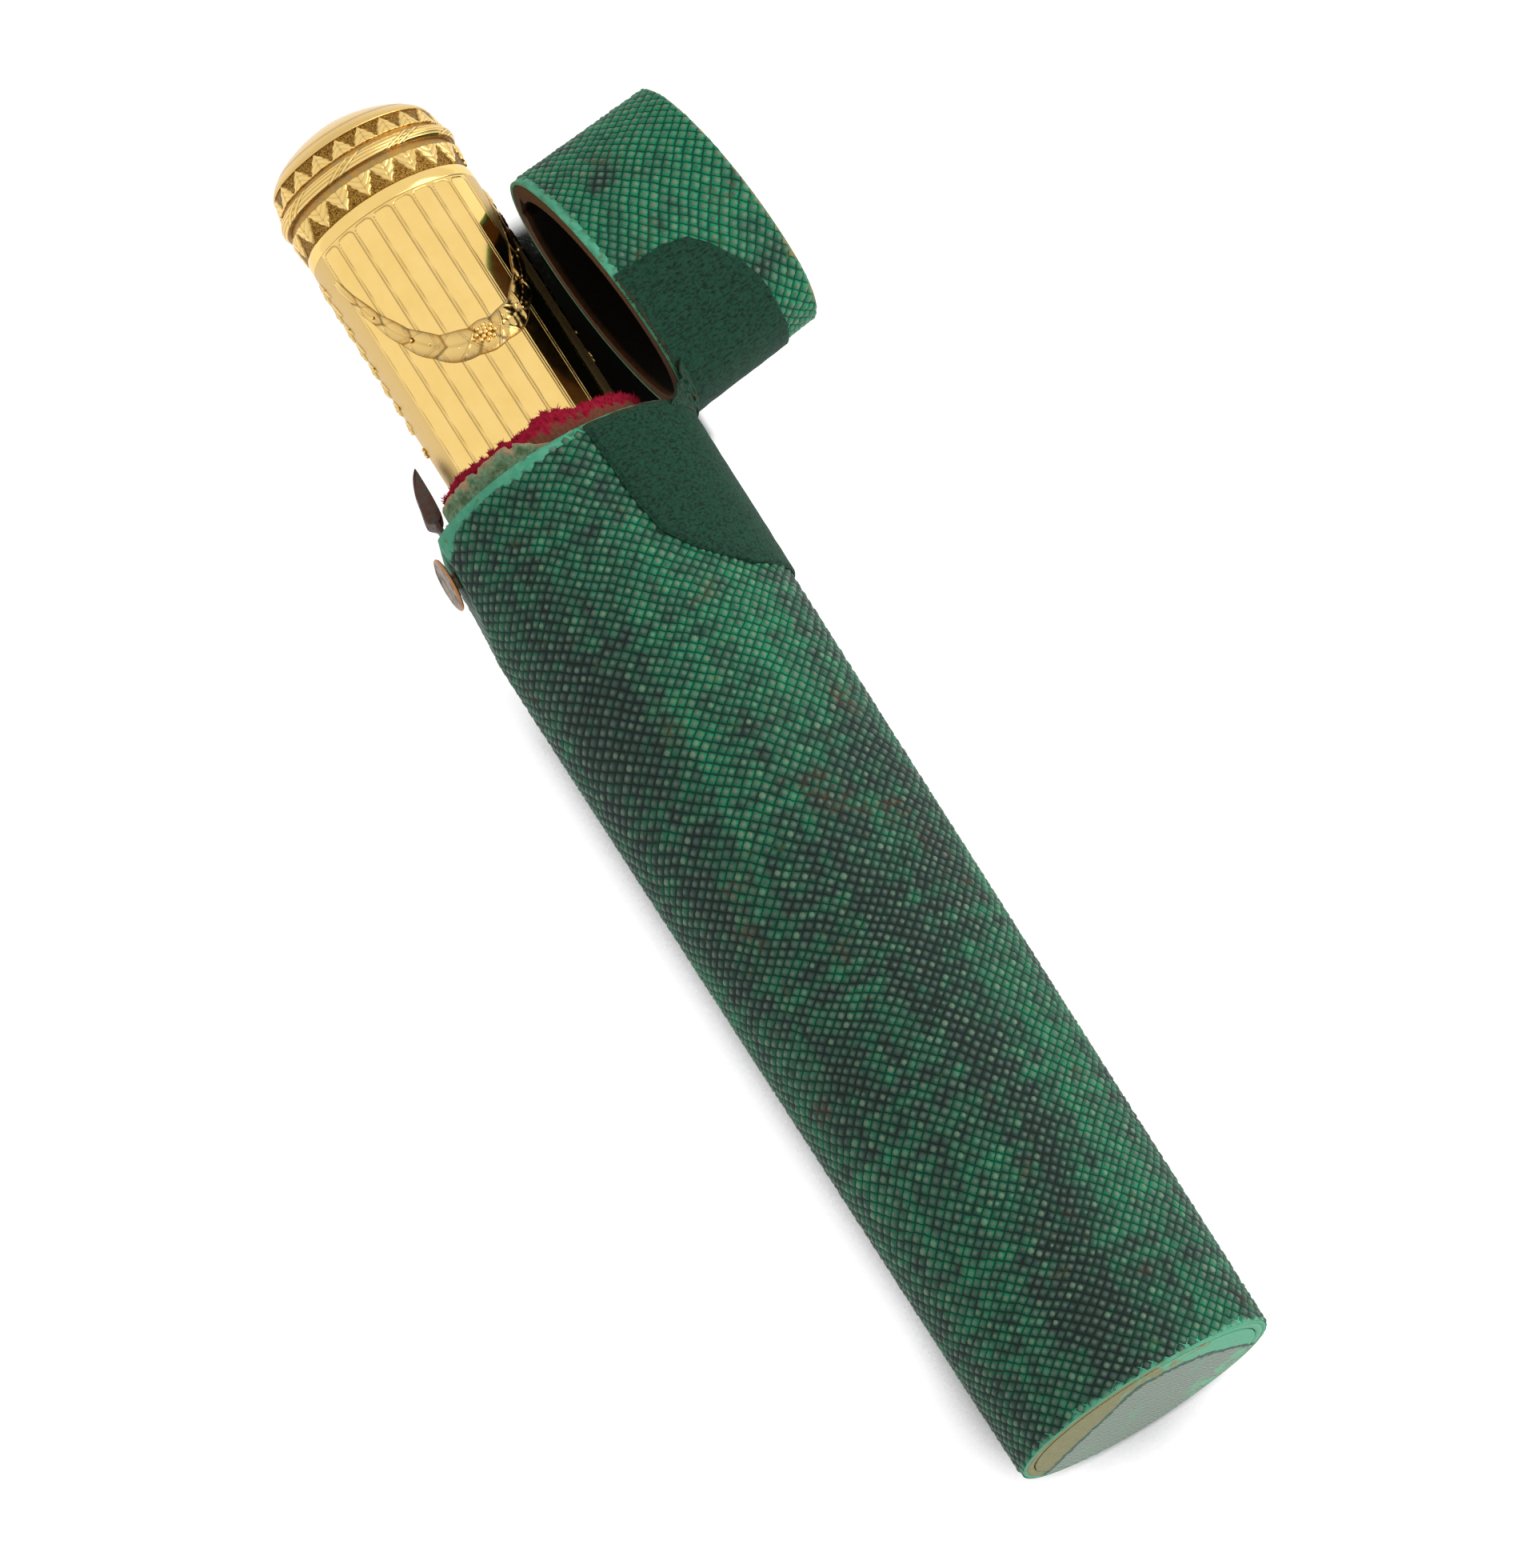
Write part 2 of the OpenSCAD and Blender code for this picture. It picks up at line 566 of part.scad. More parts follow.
// Laurel: a flat bundle of leaves that follows a route of [arc, along] and swells at each pair of leaves.
// Its section is half an ellipse that stands on the gold, with one more point under its middle.
laurel_sides = 6;
laurel_lift = 0.04;
function laurel_ring(p, way, half, thick) = [
  for (i = [0:laurel_sides + 1]) let (
    a = 180 * i / laurel_sides,
    across = i > laurel_sides ? 0 : half * cos(a),
    q = oval_point(normal_at(p[0] - way[1] * across), laurel_lift + (i > laurel_sides ? 0 : thick * sin(a)))
  ) [q[0], q[1], p[1] + way[0] * across]
];
module laurel(route, half, thick) {
  last = len(route) - 1;
  width = laurel_sides + 2;
  points = [for (i = [0:last]) let (
    span = route[min(i + 1, last)] - route[max(i - 1, 0)],
    way = span / norm(span)
  ) each laurel_ring(route[i], way, half[i], thick[i])];
  polyhedron(points, concat(
    [for (i = [0:last - 1], j = [0:width - 1]) let (
      a = i * width + j, b = i * width + (j + 1) % width
    ) each [[a, a + width, b + width], [a, b + width, b]]],
    [[for (j = [0:width - 1]) j]],
    [[for (j = [width - 1:-1:0]) last * width + j]]
  ));
}

garland_steps = 32;
leaf_pairs = 8;
module garland(face) {
  half_span = flutes / 2 * flute_w;
  us = [for (i = [0:garland_steps]) i / garland_steps];
  leaf = [for (i = [0:garland_steps]) 0.22 * abs(sin(180 * leaf_pairs * i / garland_steps + 12))];
  laurel(
    [for (u = us) [
      face * quarter + (2 * u - 1) * half_span,
      flute_top - garland_top - garland_sag * (1 - pow(2 * u - 1, 2))
    ]],
    [for (i = [0:garland_steps]) garland_half_w * (0.45 + 0.33 * sin(180 * us[i]) + leaf[i])],
    [for (i = [0:garland_steps]) garland_thick * (0.4 + 0.38 * sin(180 * us[i]) + leaf[i])]
  );
}
module drop(side) {
  steps = 28;
  laurel(
    [for (i = [0:steps]) [side * quarter, flute_top - garland_top - drop_len * i / steps]],
    [for (i = [0:steps]) drop_half_w * (0.3 + 0.6 * abs(sin(180 * 6 * i / steps + 10)) * (1 - 0.45 * i / steps))],
    [for (i = [0:steps]) 0.15 + 0.2 * abs(sin(180 * 6 * i / steps + 10))]
  );
}
module garland_front() color(gold) lying() garland(3);
module garland_back() color(gold) lying() garland(1);
module drop_left() color(gold) lying() drop(2);
module drop_right() color(gold) lying() drop(0);

// Catch that the button presses inwards: a strip with a barbed hook at its end.
module catch_spring() color(iron) lying() {
  catch_box(strip_in, strip_x, strip_w / 2, flex_y + 0.05, case_len + barb_y);
  translate([0, strip_w / 2, 0]) rotate([90, 0, 0]) linear_extrude(strip_w) polygon([
    [-strip_in, case_len + barb_y - 0.3], [-strip_x, case_len + barb_y - 0.3],
    [-strip_x, case_len + barb_y], [-strip_x - barb_reach, barb_top - 0.55], [-strip_x - barb_reach + 0.05, barb_top],
    [-strip_x - 0.12, case_len + hook_tip - 2.2], [-strip_x + 0.45, case_len + hook_tip - 0.8],
    [-strip_x + 1.3, case_len + hook_tip], [-strip_in + 0.85, case_len + 4.2], [-strip_in + 0.7, case_len + 3.2]
  ]);
}

module button() color([0.48, 0.36, 0.24]) lying() translate([0, 0, case_len - button_y]) rotate([0, -90, 0])
  rotate_extrude($fn = 96) polygon([
    [0, shank_tip], [shank_d / 2, shank_tip], [shank_d / 2, button_x], [button_d / 2 - 0.3, button_x],
    [button_d / 2, button_x + 0.3], [button_d / 2, button_x + 0.55], [button_d / 2 - 0.35, button_x + button_h],
    [0, button_x + button_h]
  ]);

case_core();
case_skin();
base_board();
base_skin();
case_neck();
case_lining();
case_floor_pad();
catch_foot();
catch_rivets();
hinge_roll();
hinge_patch_case();
lid_core();
lid_skin();
lid_top_board();
lid_top_skin();
lid_lining();
lid_strike();
hinge_patch_lid();
etui_tube();
etui_sleeve();
etui_foot_plate();
etui_foot_ring();
etui_foot_border();
etui_foot_band();
cap_tube();
cap_band();
cap_lower_border();
cap_reeded_ring();
cap_upper_border();
cap_dome();
cap_boss();
garland_front();
garland_back();
drop_left();
drop_right();
button();
catch_spring();
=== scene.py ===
import json
import math

import bpy
import numpy as np
from mathutils import Matrix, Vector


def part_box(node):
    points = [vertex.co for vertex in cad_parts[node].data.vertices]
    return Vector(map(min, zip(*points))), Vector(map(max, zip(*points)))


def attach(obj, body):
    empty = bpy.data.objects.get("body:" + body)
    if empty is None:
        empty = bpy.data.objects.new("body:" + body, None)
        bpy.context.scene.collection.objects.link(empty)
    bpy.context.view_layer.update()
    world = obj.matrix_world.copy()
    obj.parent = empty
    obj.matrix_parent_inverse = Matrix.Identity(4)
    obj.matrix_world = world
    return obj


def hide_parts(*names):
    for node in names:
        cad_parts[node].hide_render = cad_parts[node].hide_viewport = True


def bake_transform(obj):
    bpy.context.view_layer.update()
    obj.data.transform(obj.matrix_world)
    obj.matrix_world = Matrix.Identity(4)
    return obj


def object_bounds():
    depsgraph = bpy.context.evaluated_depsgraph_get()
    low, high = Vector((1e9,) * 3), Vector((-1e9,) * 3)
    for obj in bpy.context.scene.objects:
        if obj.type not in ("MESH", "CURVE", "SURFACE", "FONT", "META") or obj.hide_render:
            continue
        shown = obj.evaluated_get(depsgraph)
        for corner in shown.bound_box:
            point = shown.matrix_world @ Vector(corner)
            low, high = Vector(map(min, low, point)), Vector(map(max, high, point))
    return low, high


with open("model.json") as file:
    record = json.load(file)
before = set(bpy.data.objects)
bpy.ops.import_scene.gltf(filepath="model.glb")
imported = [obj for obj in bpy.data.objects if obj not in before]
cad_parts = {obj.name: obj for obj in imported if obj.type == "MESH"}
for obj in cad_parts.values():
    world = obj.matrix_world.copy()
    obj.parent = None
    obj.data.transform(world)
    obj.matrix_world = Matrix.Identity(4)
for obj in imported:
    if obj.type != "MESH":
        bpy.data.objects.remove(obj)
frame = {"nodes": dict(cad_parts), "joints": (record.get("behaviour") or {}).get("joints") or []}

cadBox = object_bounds()
mm = 0.001
rng = np.random.default_rng(7)
nodes = frame["nodes"]


# Lowest and highest corner of a CAD node, in millimetres.
def boxMm(name):
    low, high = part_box(name)
    return np.array(low) / mm, np.array(high) / mm


# The etui's oval is four arcs, and every other section lies at some distance outside it.
etuiTubeBox = boxMm("etui_tube")
oval = {
    "halfWide": etuiTubeBox[1][0],
    "halfDeep": etuiTubeBox[1][2],
    "endRadius": 6.3,
}
endCentre = oval["halfWide"] - oval["endRadius"]
narrow = oval["halfDeep"] - oval["endRadius"]
sideCentre = (endCentre**2 - narrow**2) / (2 * narrow)
sideRadius = oval["halfDeep"] + sideCentre
endAngle = math.atan2(sideCentre, endCentre)

# Places along the case, from its base end.
mouth = boxMm("case_skin")[1][1]
apex = boxMm("cap_boss")[1][1]
caseSkin = {
    "out": boxMm("case_skin")[1][0] - oval["halfWide"],
    "taper": 1.0,
    "scaleAlong": 0.92,      # spacing of the scales along a row
    "scaleAcross": 0.99,     # spacing of the rows
    "rowAngle": 41.0,        # direction of the rows, in degrees from the way round the case
    "crossAngle": 144.0,
    "relief": 0.26,          # height of a scale above its groove
    "baseStrip": 0.3,        # bare dyed strip at the base end
}
lid = {"length": 16.5, "taper": 0.25, "openDegrees": 83.3, "edgeStrip": 0.75, "endStrip": 0.12}
hinge = np.array(next(j for j in frame["joints"] if j["name"] == "lid_hinge")["pos_m"]) / mm


# Length of a quarter of the oval that lies t outside the etui's.
def quarterArc(t):
    return (oval["endRadius"] + t) * endAngle + (sideRadius + t) * (math.pi / 2 - endAngle)


# Direction of the normal at a length of arc, counted from the +X end towards +Z. Each quarter runs on
# the end arc first, where angle = length / end radius, and then on the side arc. Odd quarters run back.
def normalAt(arc, t=0.0):
    quarter = quarterArc(t)
    turned = np.mod(arc, 4 * quarter)
    count = np.floor(turned / quarter)
    rest = turned - count * quarter
    odd = count % 2 == 1
    rest = np.where(odd, quarter - rest, rest)
    endArc = (oval["endRadius"] + t) * endAngle
    angle = np.where(rest < endArc, rest / (oval["endRadius"] + t), endAngle + (rest - endArc) / (sideRadius + t))
    return np.where(odd, (count + 1) * math.pi / 2 - angle, count * math.pi / 2 + angle)


# Point on the oval with a normal direction: centre of its arc plus (radius + t) along the normal.
def ovalPoint(normal, y, t):
    normal, y, t = np.broadcast_arrays(normal, y, t)
    onEnd = np.abs(np.sin(normal)) < math.sin(endAngle)
    radius = np.where(onEnd, oval["endRadius"], sideRadius) + t
    x = np.where(onEnd, np.sign(np.cos(normal)) * endCentre, 0.0) + radius * np.cos(normal)
    z = np.where(onEnd, 0.0, -np.sign(np.sin(normal)) * sideCentre) + radius * np.sin(normal)
    return np.stack([x, y, z], axis=-1)


# Swings points of the shut lid about the hinge's line, by the angle of the photographed pose.
def swing(points):
    angle = -math.radians(lid["openDegrees"])
    local = points - hinge
    x = local[..., 0] * math.cos(angle) - local[..., 1] * math.sin(angle)
    y = local[..., 0] * math.sin(angle) + local[..., 1] * math.cos(angle)
    return np.stack([x, y, local[..., 2]], axis=-1) + hinge


# Smooth uneven field: the mean of seven sine waves in random directions, each about size long.
def drift(u, v, size, seed):
    waves = np.random.default_rng(seed)
    total = 0.0
    for _ in range(7):
        turn, phase, stretch = waves.uniform(0, 2 * math.pi), waves.uniform(0, 2 * math.pi), waves.uniform(0.6, 1.6)
        k = 2 * math.pi / (size * stretch)
        total = total + np.sin(k * (u * math.cos(turn) + v * math.sin(turn)) + phase)
    return total / 7


def smooth(low, high, value):
    x = np.clip((value - low) / (high - low), 0, 1)
    return x * x * (3 - 2 * x)


# Quads of a grid of points, rows by columns, with the outside where rows run up and columns run to the left.
def gridFaces(rows, columns, wrapRows=False, wrapColumns=False, first=0):
    i = np.arange(rows if wrapRows else rows - 1)[:, None]
    j = np.arange(columns if wrapColumns else columns - 1)[None, :]
    up, left = (i + 1) % rows, (j + 1) % columns
    quads = np.stack(np.broadcast_arrays(i * columns + j, up * columns + j, up * columns + left, i * columns + left), -1)
    return quads.reshape(-1, 4) + first


# Makes a mesh from points in millimetres and arrays of faces, gives it its finish and ties it to its body.
def makePiece(name, points, faceSets, body, finish, standsFor=(), values=None):
    points = points.reshape(-1, 3)
    mesh = bpy.data.meshes.new(name)
    faceSets = [f for f in faceSets if len(f)]
    loops = np.concatenate([f.ravel() for f in faceSets])
    sizes = np.concatenate([np.full(len(f), f.shape[1]) for f in faceSets])
    mesh.vertices.add(len(points))
    mesh.vertices.foreach_set("co", (points * mm).astype(np.float32).ravel())
    mesh.loops.add(len(loops))
    mesh.loops.foreach_set("vertex_index", loops.astype(np.int32))
    mesh.polygons.add(len(sizes))
    mesh.polygons.foreach_set("loop_start", (np.cumsum(sizes) - sizes).astype(np.int32))
    mesh.polygons.foreach_set("use_smooth", np.ones(len(sizes), bool))
    mesh.update(calc_edges=True)
    for key, value in (values or {}).items():
        mesh.attributes.new(key, "FLOAT", "POINT").data.foreach_set("value", np.asarray(value, np.float32).ravel())
    mesh.materials.append(finish)
    piece = bpy.data.objects.new(name, mesh)
    bpy.context.scene.collection.objects.link(piece)
    if body:
        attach(piece, body)
    if standsFor:
        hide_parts(*standsFor)
    return piece


# Closed ring round the oval: profile points (t, y) go up the outside and down the inside, and t may be
# an array with a column for each place round the ring.
def ringPoints(arcs, t, y):
    return ovalPoint(normalAt(arcs)[None, :], y, t)


# Closed plate between two grids of the same size, outside and inside, joined along their four borders.
def plateFaces(rows, columns):
    count = rows * columns
    outside = gridFaces(rows, columns)
    inside = gridFaces(rows, columns, first=count)[:, ::-1]
    grid = np.arange(count).reshape(rows, columns)
    border = np.concatenate([grid[0, :], grid[1:, -1], grid[-1, -2::-1], grid[-2:0:-1, 0]])
    following = np.roll(border, -1)
    return [outside, inside, np.stack([border, following, following + count, border + count], -1)[:, ::-1]]


# Colour from screen values 0 to 255, as the linear colour that a shader takes.
def paint(red, green, blue):
    screen = np.array([red, green, blue]) / 255
    linear = np.where(screen <= 0.04045, screen / 12.92, ((screen + 0.055) / 1.055) ** 2.4)
    return (*linear.tolist(), 1.0)


def startFinish(name):
    material = bpy.data.materials.new(name)
    material.use_nodes = True
    tree = material.node_tree
    shader = tree.nodes["Principled BSDF"]
    return material, tree, shader


# Adds a shader node: settings are its own options, sockets are values or the outputs wired into it.
def addNode(tree, kind, sockets=None, **settings):
    made = tree.nodes.new("ShaderNode" + kind)
    for key, value in settings.items():
        setattr(made, key, value)
    for key, value in (sockets or {}).items():
        if isinstance(value, bpy.types.NodeSocket):
            tree.links.new(value, made.inputs[key])
        else:
            made.inputs[key].default_value = value
    return made


# Noise on object coordinates. size is the length of its features in millimetres, along each axis.
def addNoise(tree, size, detail=3.0, roughness=0.5):
    size = (size, size, size) if np.isscalar(size) else size
    where = addNode(tree, "TexCoord").outputs["Object"]
    placed = addNode(tree, "Mapping", {"Vector": where, "Scale": [1 / (s * mm) for s in size]})
    return addNode(tree, "TexNoise", {
        "Vector": placed.outputs[0], "Scale": 1.0, "Detail": detail, "Roughness": roughness,
    }).outputs["Fac"]


def addRamp(tree, value, low, high, start=0.0, end=1.0):
    return addNode(tree, "MapRange", {0: value, 1: low, 2: high, 3: start, 4: end},
                   interpolation_type="SMOOTHSTEP").outputs[0]


def addMath(tree, operation, a, b):
    return addNode(tree, "Math", {0: a, 1: b}, operation=operation).outputs[0]


def addMix(tree, share, a, b):
    return addNode(tree, "Mix", {0: share, 6: a, 7: b}, data_type="RGBA").outputs[2]


def addBump(tree, shader, height, depthMm, strength=1.0):
    bump = addNode(tree, "Bump", {"Height": height, "Distance": depthMm * mm, "Strength": strength})
    tree.links.new(bump.outputs[0], shader.inputs["Normal"])


def attribute(tree, name):
    return addNode(tree, "Attribute", attribute_name=name).outputs["Fac"]


def link(tree, output, shader, socket):
    tree.links.new(output, shader.inputs[socket])


print("finishes")


# Polished gold. One attribute darkens and dulls the recesses with patina, and also carries painted shade along the
# leaf borders, at the reeded ring's edges and over the swag's leaves; matt frosts the pilasters and punched is the
# dark grainy ground between leaves.
def goldFinish():
    material, tree, shader = startFinish("gold")
    patinaAndPaintedShade, matt, punched = attribute(tree, "patinaAndPaintedShade"), attribute(tree, "matt"), attribute(tree, "punched")
    stain = addRamp(tree, addNoise(tree, 0.9, 5, 0.6), 0.42, 0.62)
    tint = addMix(tree, addNoise(tree, 3.0, 5, 0.6), paint(240, 200, 112), paint(253, 220, 144))
    dull = addMix(tree, matt, tint, paint(216, 184, 120))
    brown = addMix(tree, stain, paint(164, 118, 54), paint(130, 108, 76))
    worked = addMix(tree, patinaAndPaintedShade, dull, brown)
    speck = addRamp(tree, addNoise(tree, 0.14, 2), 0.35, 0.65)
    link(tree, addMix(tree, punched, worked, addMix(tree, speck, paint(84, 54, 16), paint(172, 130, 60))), shader,
         "Base Color")
    shader.inputs["Metallic"].default_value = 1.0
    smear = addRamp(tree, addNoise(tree, 3.0, 4, 0.6), 0.3, 0.8, 0.1, 0.17)
    worn = addMath(tree, "MAXIMUM", matt, addMath(tree, "MAXIMUM", patinaAndPaintedShade, punched))
    link(tree, addMath(tree, "MAXIMUM", smear, addMath(tree, "MULTIPLY", worn, 0.42)), shader, "Roughness")
    addBump(tree, shader, addMath(tree, "MULTIPLY", addNoise(tree, 0.11, 2), worn), 0.05, 0.6)
    return material


# Shagreen: crown is 0 in the grooves and 1 on a scale's top, light is the mottling of the dye, tone differs
# from scale to scale, bare marks the pared strips at the edges, where the dyed skin shows, and worn is the
# tan of the skin's flesh side and of old glue.
def shagreenFinish(name):
    material, tree, shader = startFinish(name)
    crown, light = attribute(tree, "crown"), attribute(tree, "light")
    tone, bare, worn = attribute(tree, "tone"), attribute(tree, "bare"), attribute(tree, "worn")
    shade = addMath(tree, "ADD", light, addRamp(tree, addNoise(tree, 2.4, 4, 0.6), 0.3, 0.7, -0.12, 0.12))
    # The grooves' dark colours are dye gathered there together with painted shade of the grooves.
    groove = addMix(tree, addRamp(tree, shade, 0.1, 1.0), paint(4, 16, 14), paint(0, 60, 42))
    skirt = addMix(tree, addRamp(tree, shade, 0.1, 1.0), paint(26, 58, 48), paint(2, 146, 100))
    top = addMix(tree, addRamp(tree, shade, 0.1, 1.0), paint(62, 80, 72), paint(92, 128, 98))
    top = addMix(tree, addRamp(tree, tone, 0.8, 1.0, 0.0, 0.45), top, paint(132, 162, 126))
    top = addMix(tree, addRamp(tree, tone, 0.0, 0.3, 0.4, 0.0), top, paint(34, 54, 48))
    # Lightening each scale's top by crown is a painted highlight.
    top = addMix(tree, addRamp(tree, crown, 0.74, 1.0, 0.0, 0.36), top, paint(136, 156, 130))
    scale = addMix(tree, addRamp(tree, crown, 0.04, 0.34), groove, addMix(tree, addRamp(tree, crown, 0.42, 0.72), skirt, top))
    rust = addMath(tree, "MULTIPLY", addRamp(tree, addNoise(tree, 7.0, 3, 0.5), 0.62, 0.72, 0.0, 0.4),
                   addRamp(tree, addNoise(tree, 0.8, 3), 0.45, 0.6))
    scale = addMix(tree, rust, scale, paint(86, 54, 34))
    olive = addRamp(tree, addNoise(tree, 1.6, 5, 0.7), 0.6, 0.74, 0.0, 0.4)
    scale = addMix(tree, olive, scale, paint(92, 104, 56))
    dyed = addMix(tree, addNoise(tree, 1.2, 4, 0.6), paint(36, 148, 112), paint(122, 204, 168))
    rub = addRamp(tree, addNoise(tree, 0.9, 4, 0.7), 0.56, 0.68, 0.0, 0.7)
    dyed = addMix(tree, rub, dyed, paint(96, 116, 66))
    tan = addMix(tree, addNoise(tree, 0.7, 5, 0.7), paint(104, 92, 48), paint(170, 150, 96))
    dyed = addMix(tree, worn, dyed, tan)
    link(tree, addMix(tree, bare, scale, dyed), shader, "Base Color")
    flat = addMath(tree, "MAXIMUM", bare, addMath(tree, "SUBTRACT", 1.0, crown))
    link(tree, addRamp(tree, flat, 0.0, 1.0, 0.42, 0.7), shader, "Roughness")
    shader.inputs["Specular IOR Level"].default_value = 0.3
    addBump(tree, shader, addNoise(tree, 0.2, 3, 0.6), 0.04, 0.35)
    return material


# Pale ribbed shagreen of the two end discs: fine wavy ribs run aslant.
def discFinish(name, ribMm, folded):
    material, tree, shader = startFinish(name)
    where = addNode(tree, "TexCoord").outputs["Object"]
    turned = addNode(tree, "Mapping", {"Vector": where, "Rotation": (0, math.radians(35), 0)})
    ribs = addNode(tree, "TexWave", {
        "Vector": turned.outputs[0], "Scale": 0.314 / (ribMm * mm), "Distortion": 2.6, "Detail": 2.0,
        "Detail Scale": 1.2,
    }, bands_direction="X").outputs["Fac"]
    worn = addRamp(tree, addNoise(tree, 3.5, 4, 0.6), 0.56, 0.7)
    base = addMix(tree, ribs, paint(108, 128, 112), paint(160, 174, 160))
    base = addMix(tree, addMath(tree, "MULTIPLY", worn, 0.55), base, paint(112, 178, 140))
    if folded:
        axes = addNode(tree, "SeparateXYZ", {0: where}).outputs
        x, z = addMath(tree, "DIVIDE", axes["X"], mm), addMath(tree, "DIVIDE", axes["Z"], mm)
        curve = addMath(tree, "SUBTRACT", 6.6, addMath(tree, "MULTIPLY", addMath(tree, "POWER", addMath(tree, "ABSOLUTE",
                        addMath(tree, "ADD", x, 0.5), 0.0), 2.0), 0.07))
        slope = addMath(tree, "ADD", addMath(tree, "MULTIPLY", x, 1.25), 7.85)
        ragged = addRamp(tree, addNoise(tree, 1.6, 4, 0.7), 0.2, 0.8, -0.8, 0.8)
        past = addMath(tree, "SUBTRACT", z, addMath(tree, "ADD", addMath(tree, "MINIMUM", curve, slope), ragged))
        tan = addMix(tree, addNoise(tree, 0.8, 5, 0.7), paint(88, 104, 52), paint(168, 156, 104))
        green = addMath(tree, "ADD", addRamp(tree, addNoise(tree, 1.8, 5, 0.7), 0.3, 0.7, -0.5, 0.5), addRamp(tree, axes["X"], -9 * mm, 11 * mm))
        fleshSide = addMix(tree, addRamp(tree, green, 0.45, 0.75), tan, paint(92, 186, 146))
        lower = addMath(tree, "MULTIPLY", addRamp(tree, axes["X"], 3 * mm, 7 * mm), addRamp(tree, addMath(tree, "ADD", z, addMath(tree, "MULTIPLY", x, -0.6)), -8.0, -9.5))
        base = addMix(tree, addMath(tree, "MULTIPLY", lower, addRamp(tree, addNoise(tree, 1.6, 4, 0.7), 0.45, 0.55)), base, paint(112, 196, 150))
        # The dark green line just past the fold's curve is painted shadow of the gap between the disc and the fold.
        base = addMix(tree, addRamp(tree, past, 0.0, 0.3), base, paint(8, 74, 54))
        base = addMix(tree, addRamp(tree, past, 1.1, 1.5), base, fleshSide)
    link(tree, base, shader, "Base Color")
    shader.inputs["Roughness"].default_value = 0.55
    shader.inputs["Specular IOR Level"].default_value = 0.3
    addBump(tree, shader, ribs, 0.08, 0.8)
    return material


# Hinge leather: short slanted fibres and pits over a pebble grain.
def leatherFinish():
    material, tree, shader = startFinish("hinge leather")
    where = addNode(tree, "TexCoord").outputs["Object"]
    turned = addNode(tree, "Mapping", {"Vector": where, "Rotation": (0, 0, math.radians(-62)),
                                       "Scale": (1 / (0.62 * mm), 1 / (0.2 * mm), 1 / (0.3 * mm))})
    fibre = addNode(tree, "TexNoise", {"Vector": turned.outputs[0], "Scale": 1.0, "Detail": 4.0, "Roughness": 0.6})
    pebble = addNoise(tree, 0.4, 4, 0.6)
    height = addMath(tree, "ADD", addMath(tree, "MULTIPLY", fibre.outputs["Fac"], 0.6), addMath(tree, "MULTIPLY", pebble, 0.5))
    base = addMix(tree, addRamp(tree, height, 0.42, 0.62), paint(8, 34, 24), paint(30, 72, 54))
    base = addMix(tree, addRamp(tree, addNoise(tree, 0.5, 3), 0.58, 0.7, 0, 0.5), base, paint(4, 88, 58))
    worn = addMix(tree, attribute(tree, "worn"), base, paint(74, 58, 30))
    link(tree, worn, shader, "Base Color")
    shader.inputs["Roughness"].default_value = 0.75
    shader.inputs["Specular IOR Level"].default_value = 0.2
    addBump(tree, shader, height, 0.22, 0.9)
    return material


# Velvet: backing shows the brown ground cloth and old glue below the pile.
def velvetFinish():
    material, tree, shader = startFinish("crimson velvet")
    pile = addMix(tree, addNoise(tree, 0.5, 4, 0.7), paint(124, 10, 30), paint(222, 44, 78))
    cloth = addMix(tree, addNoise(tree, 0.35, 4, 0.7), paint(104, 56, 40), paint(164, 108, 84))
    link(tree, addMix(tree, attribute(tree, "backing"), pile, cloth), shader, "Base Color")
    shader.inputs["Roughness"].default_value = 0.9
    shader.inputs["Specular IOR Level"].default_value = 0.1
    shader.inputs["Sheen Weight"].default_value = 0.3
    shader.inputs["Sheen Tint"].default_value = paint(230, 70, 110)
    addBump(tree, shader, addNoise(tree, 0.18, 3, 0.7), 0.2, 0.8)
    return material


# Painted neck board: mossy mottling, with bare peach wood where the edge is chipped.
def neckFinish():
    material, tree, shader = startFinish("neck board")
    moss = addMix(tree, addRamp(tree, addNoise(tree, 0.8, 5, 0.75), 0.35, 0.65), paint(74, 104, 64), paint(138, 174, 134))
    moss = addMix(tree, addRamp(tree, addNoise(tree, 2.4, 3), 0.5, 0.7), moss, paint(104, 146, 112))
    chip = addMix(tree, addNoise(tree, 0.4, 3), paint(168, 122, 82), paint(222, 192, 150))
    link(tree, addMix(tree, attribute(tree, "chip"), moss, chip), shader, "Base Color")
    shader.inputs["Roughness"].default_value = 0.8
    addBump(tree, shader, addNoise(tree, 0.4, 4, 0.7), 0.12, 0.7)
    return material


def woodFinish():
    material, tree, shader = startFinish("case wood")
    grain = addNoise(tree, (0.5, 6.0, 0.5), 4, 0.6)
    link(tree, addMix(tree, grain, paint(92, 56, 30), paint(176, 122, 78)), shader, "Base Color")
    shader.inputs["Roughness"].default_value = 0.75
    addBump(tree, shader, grain, 0.1, 0.5)
    return material


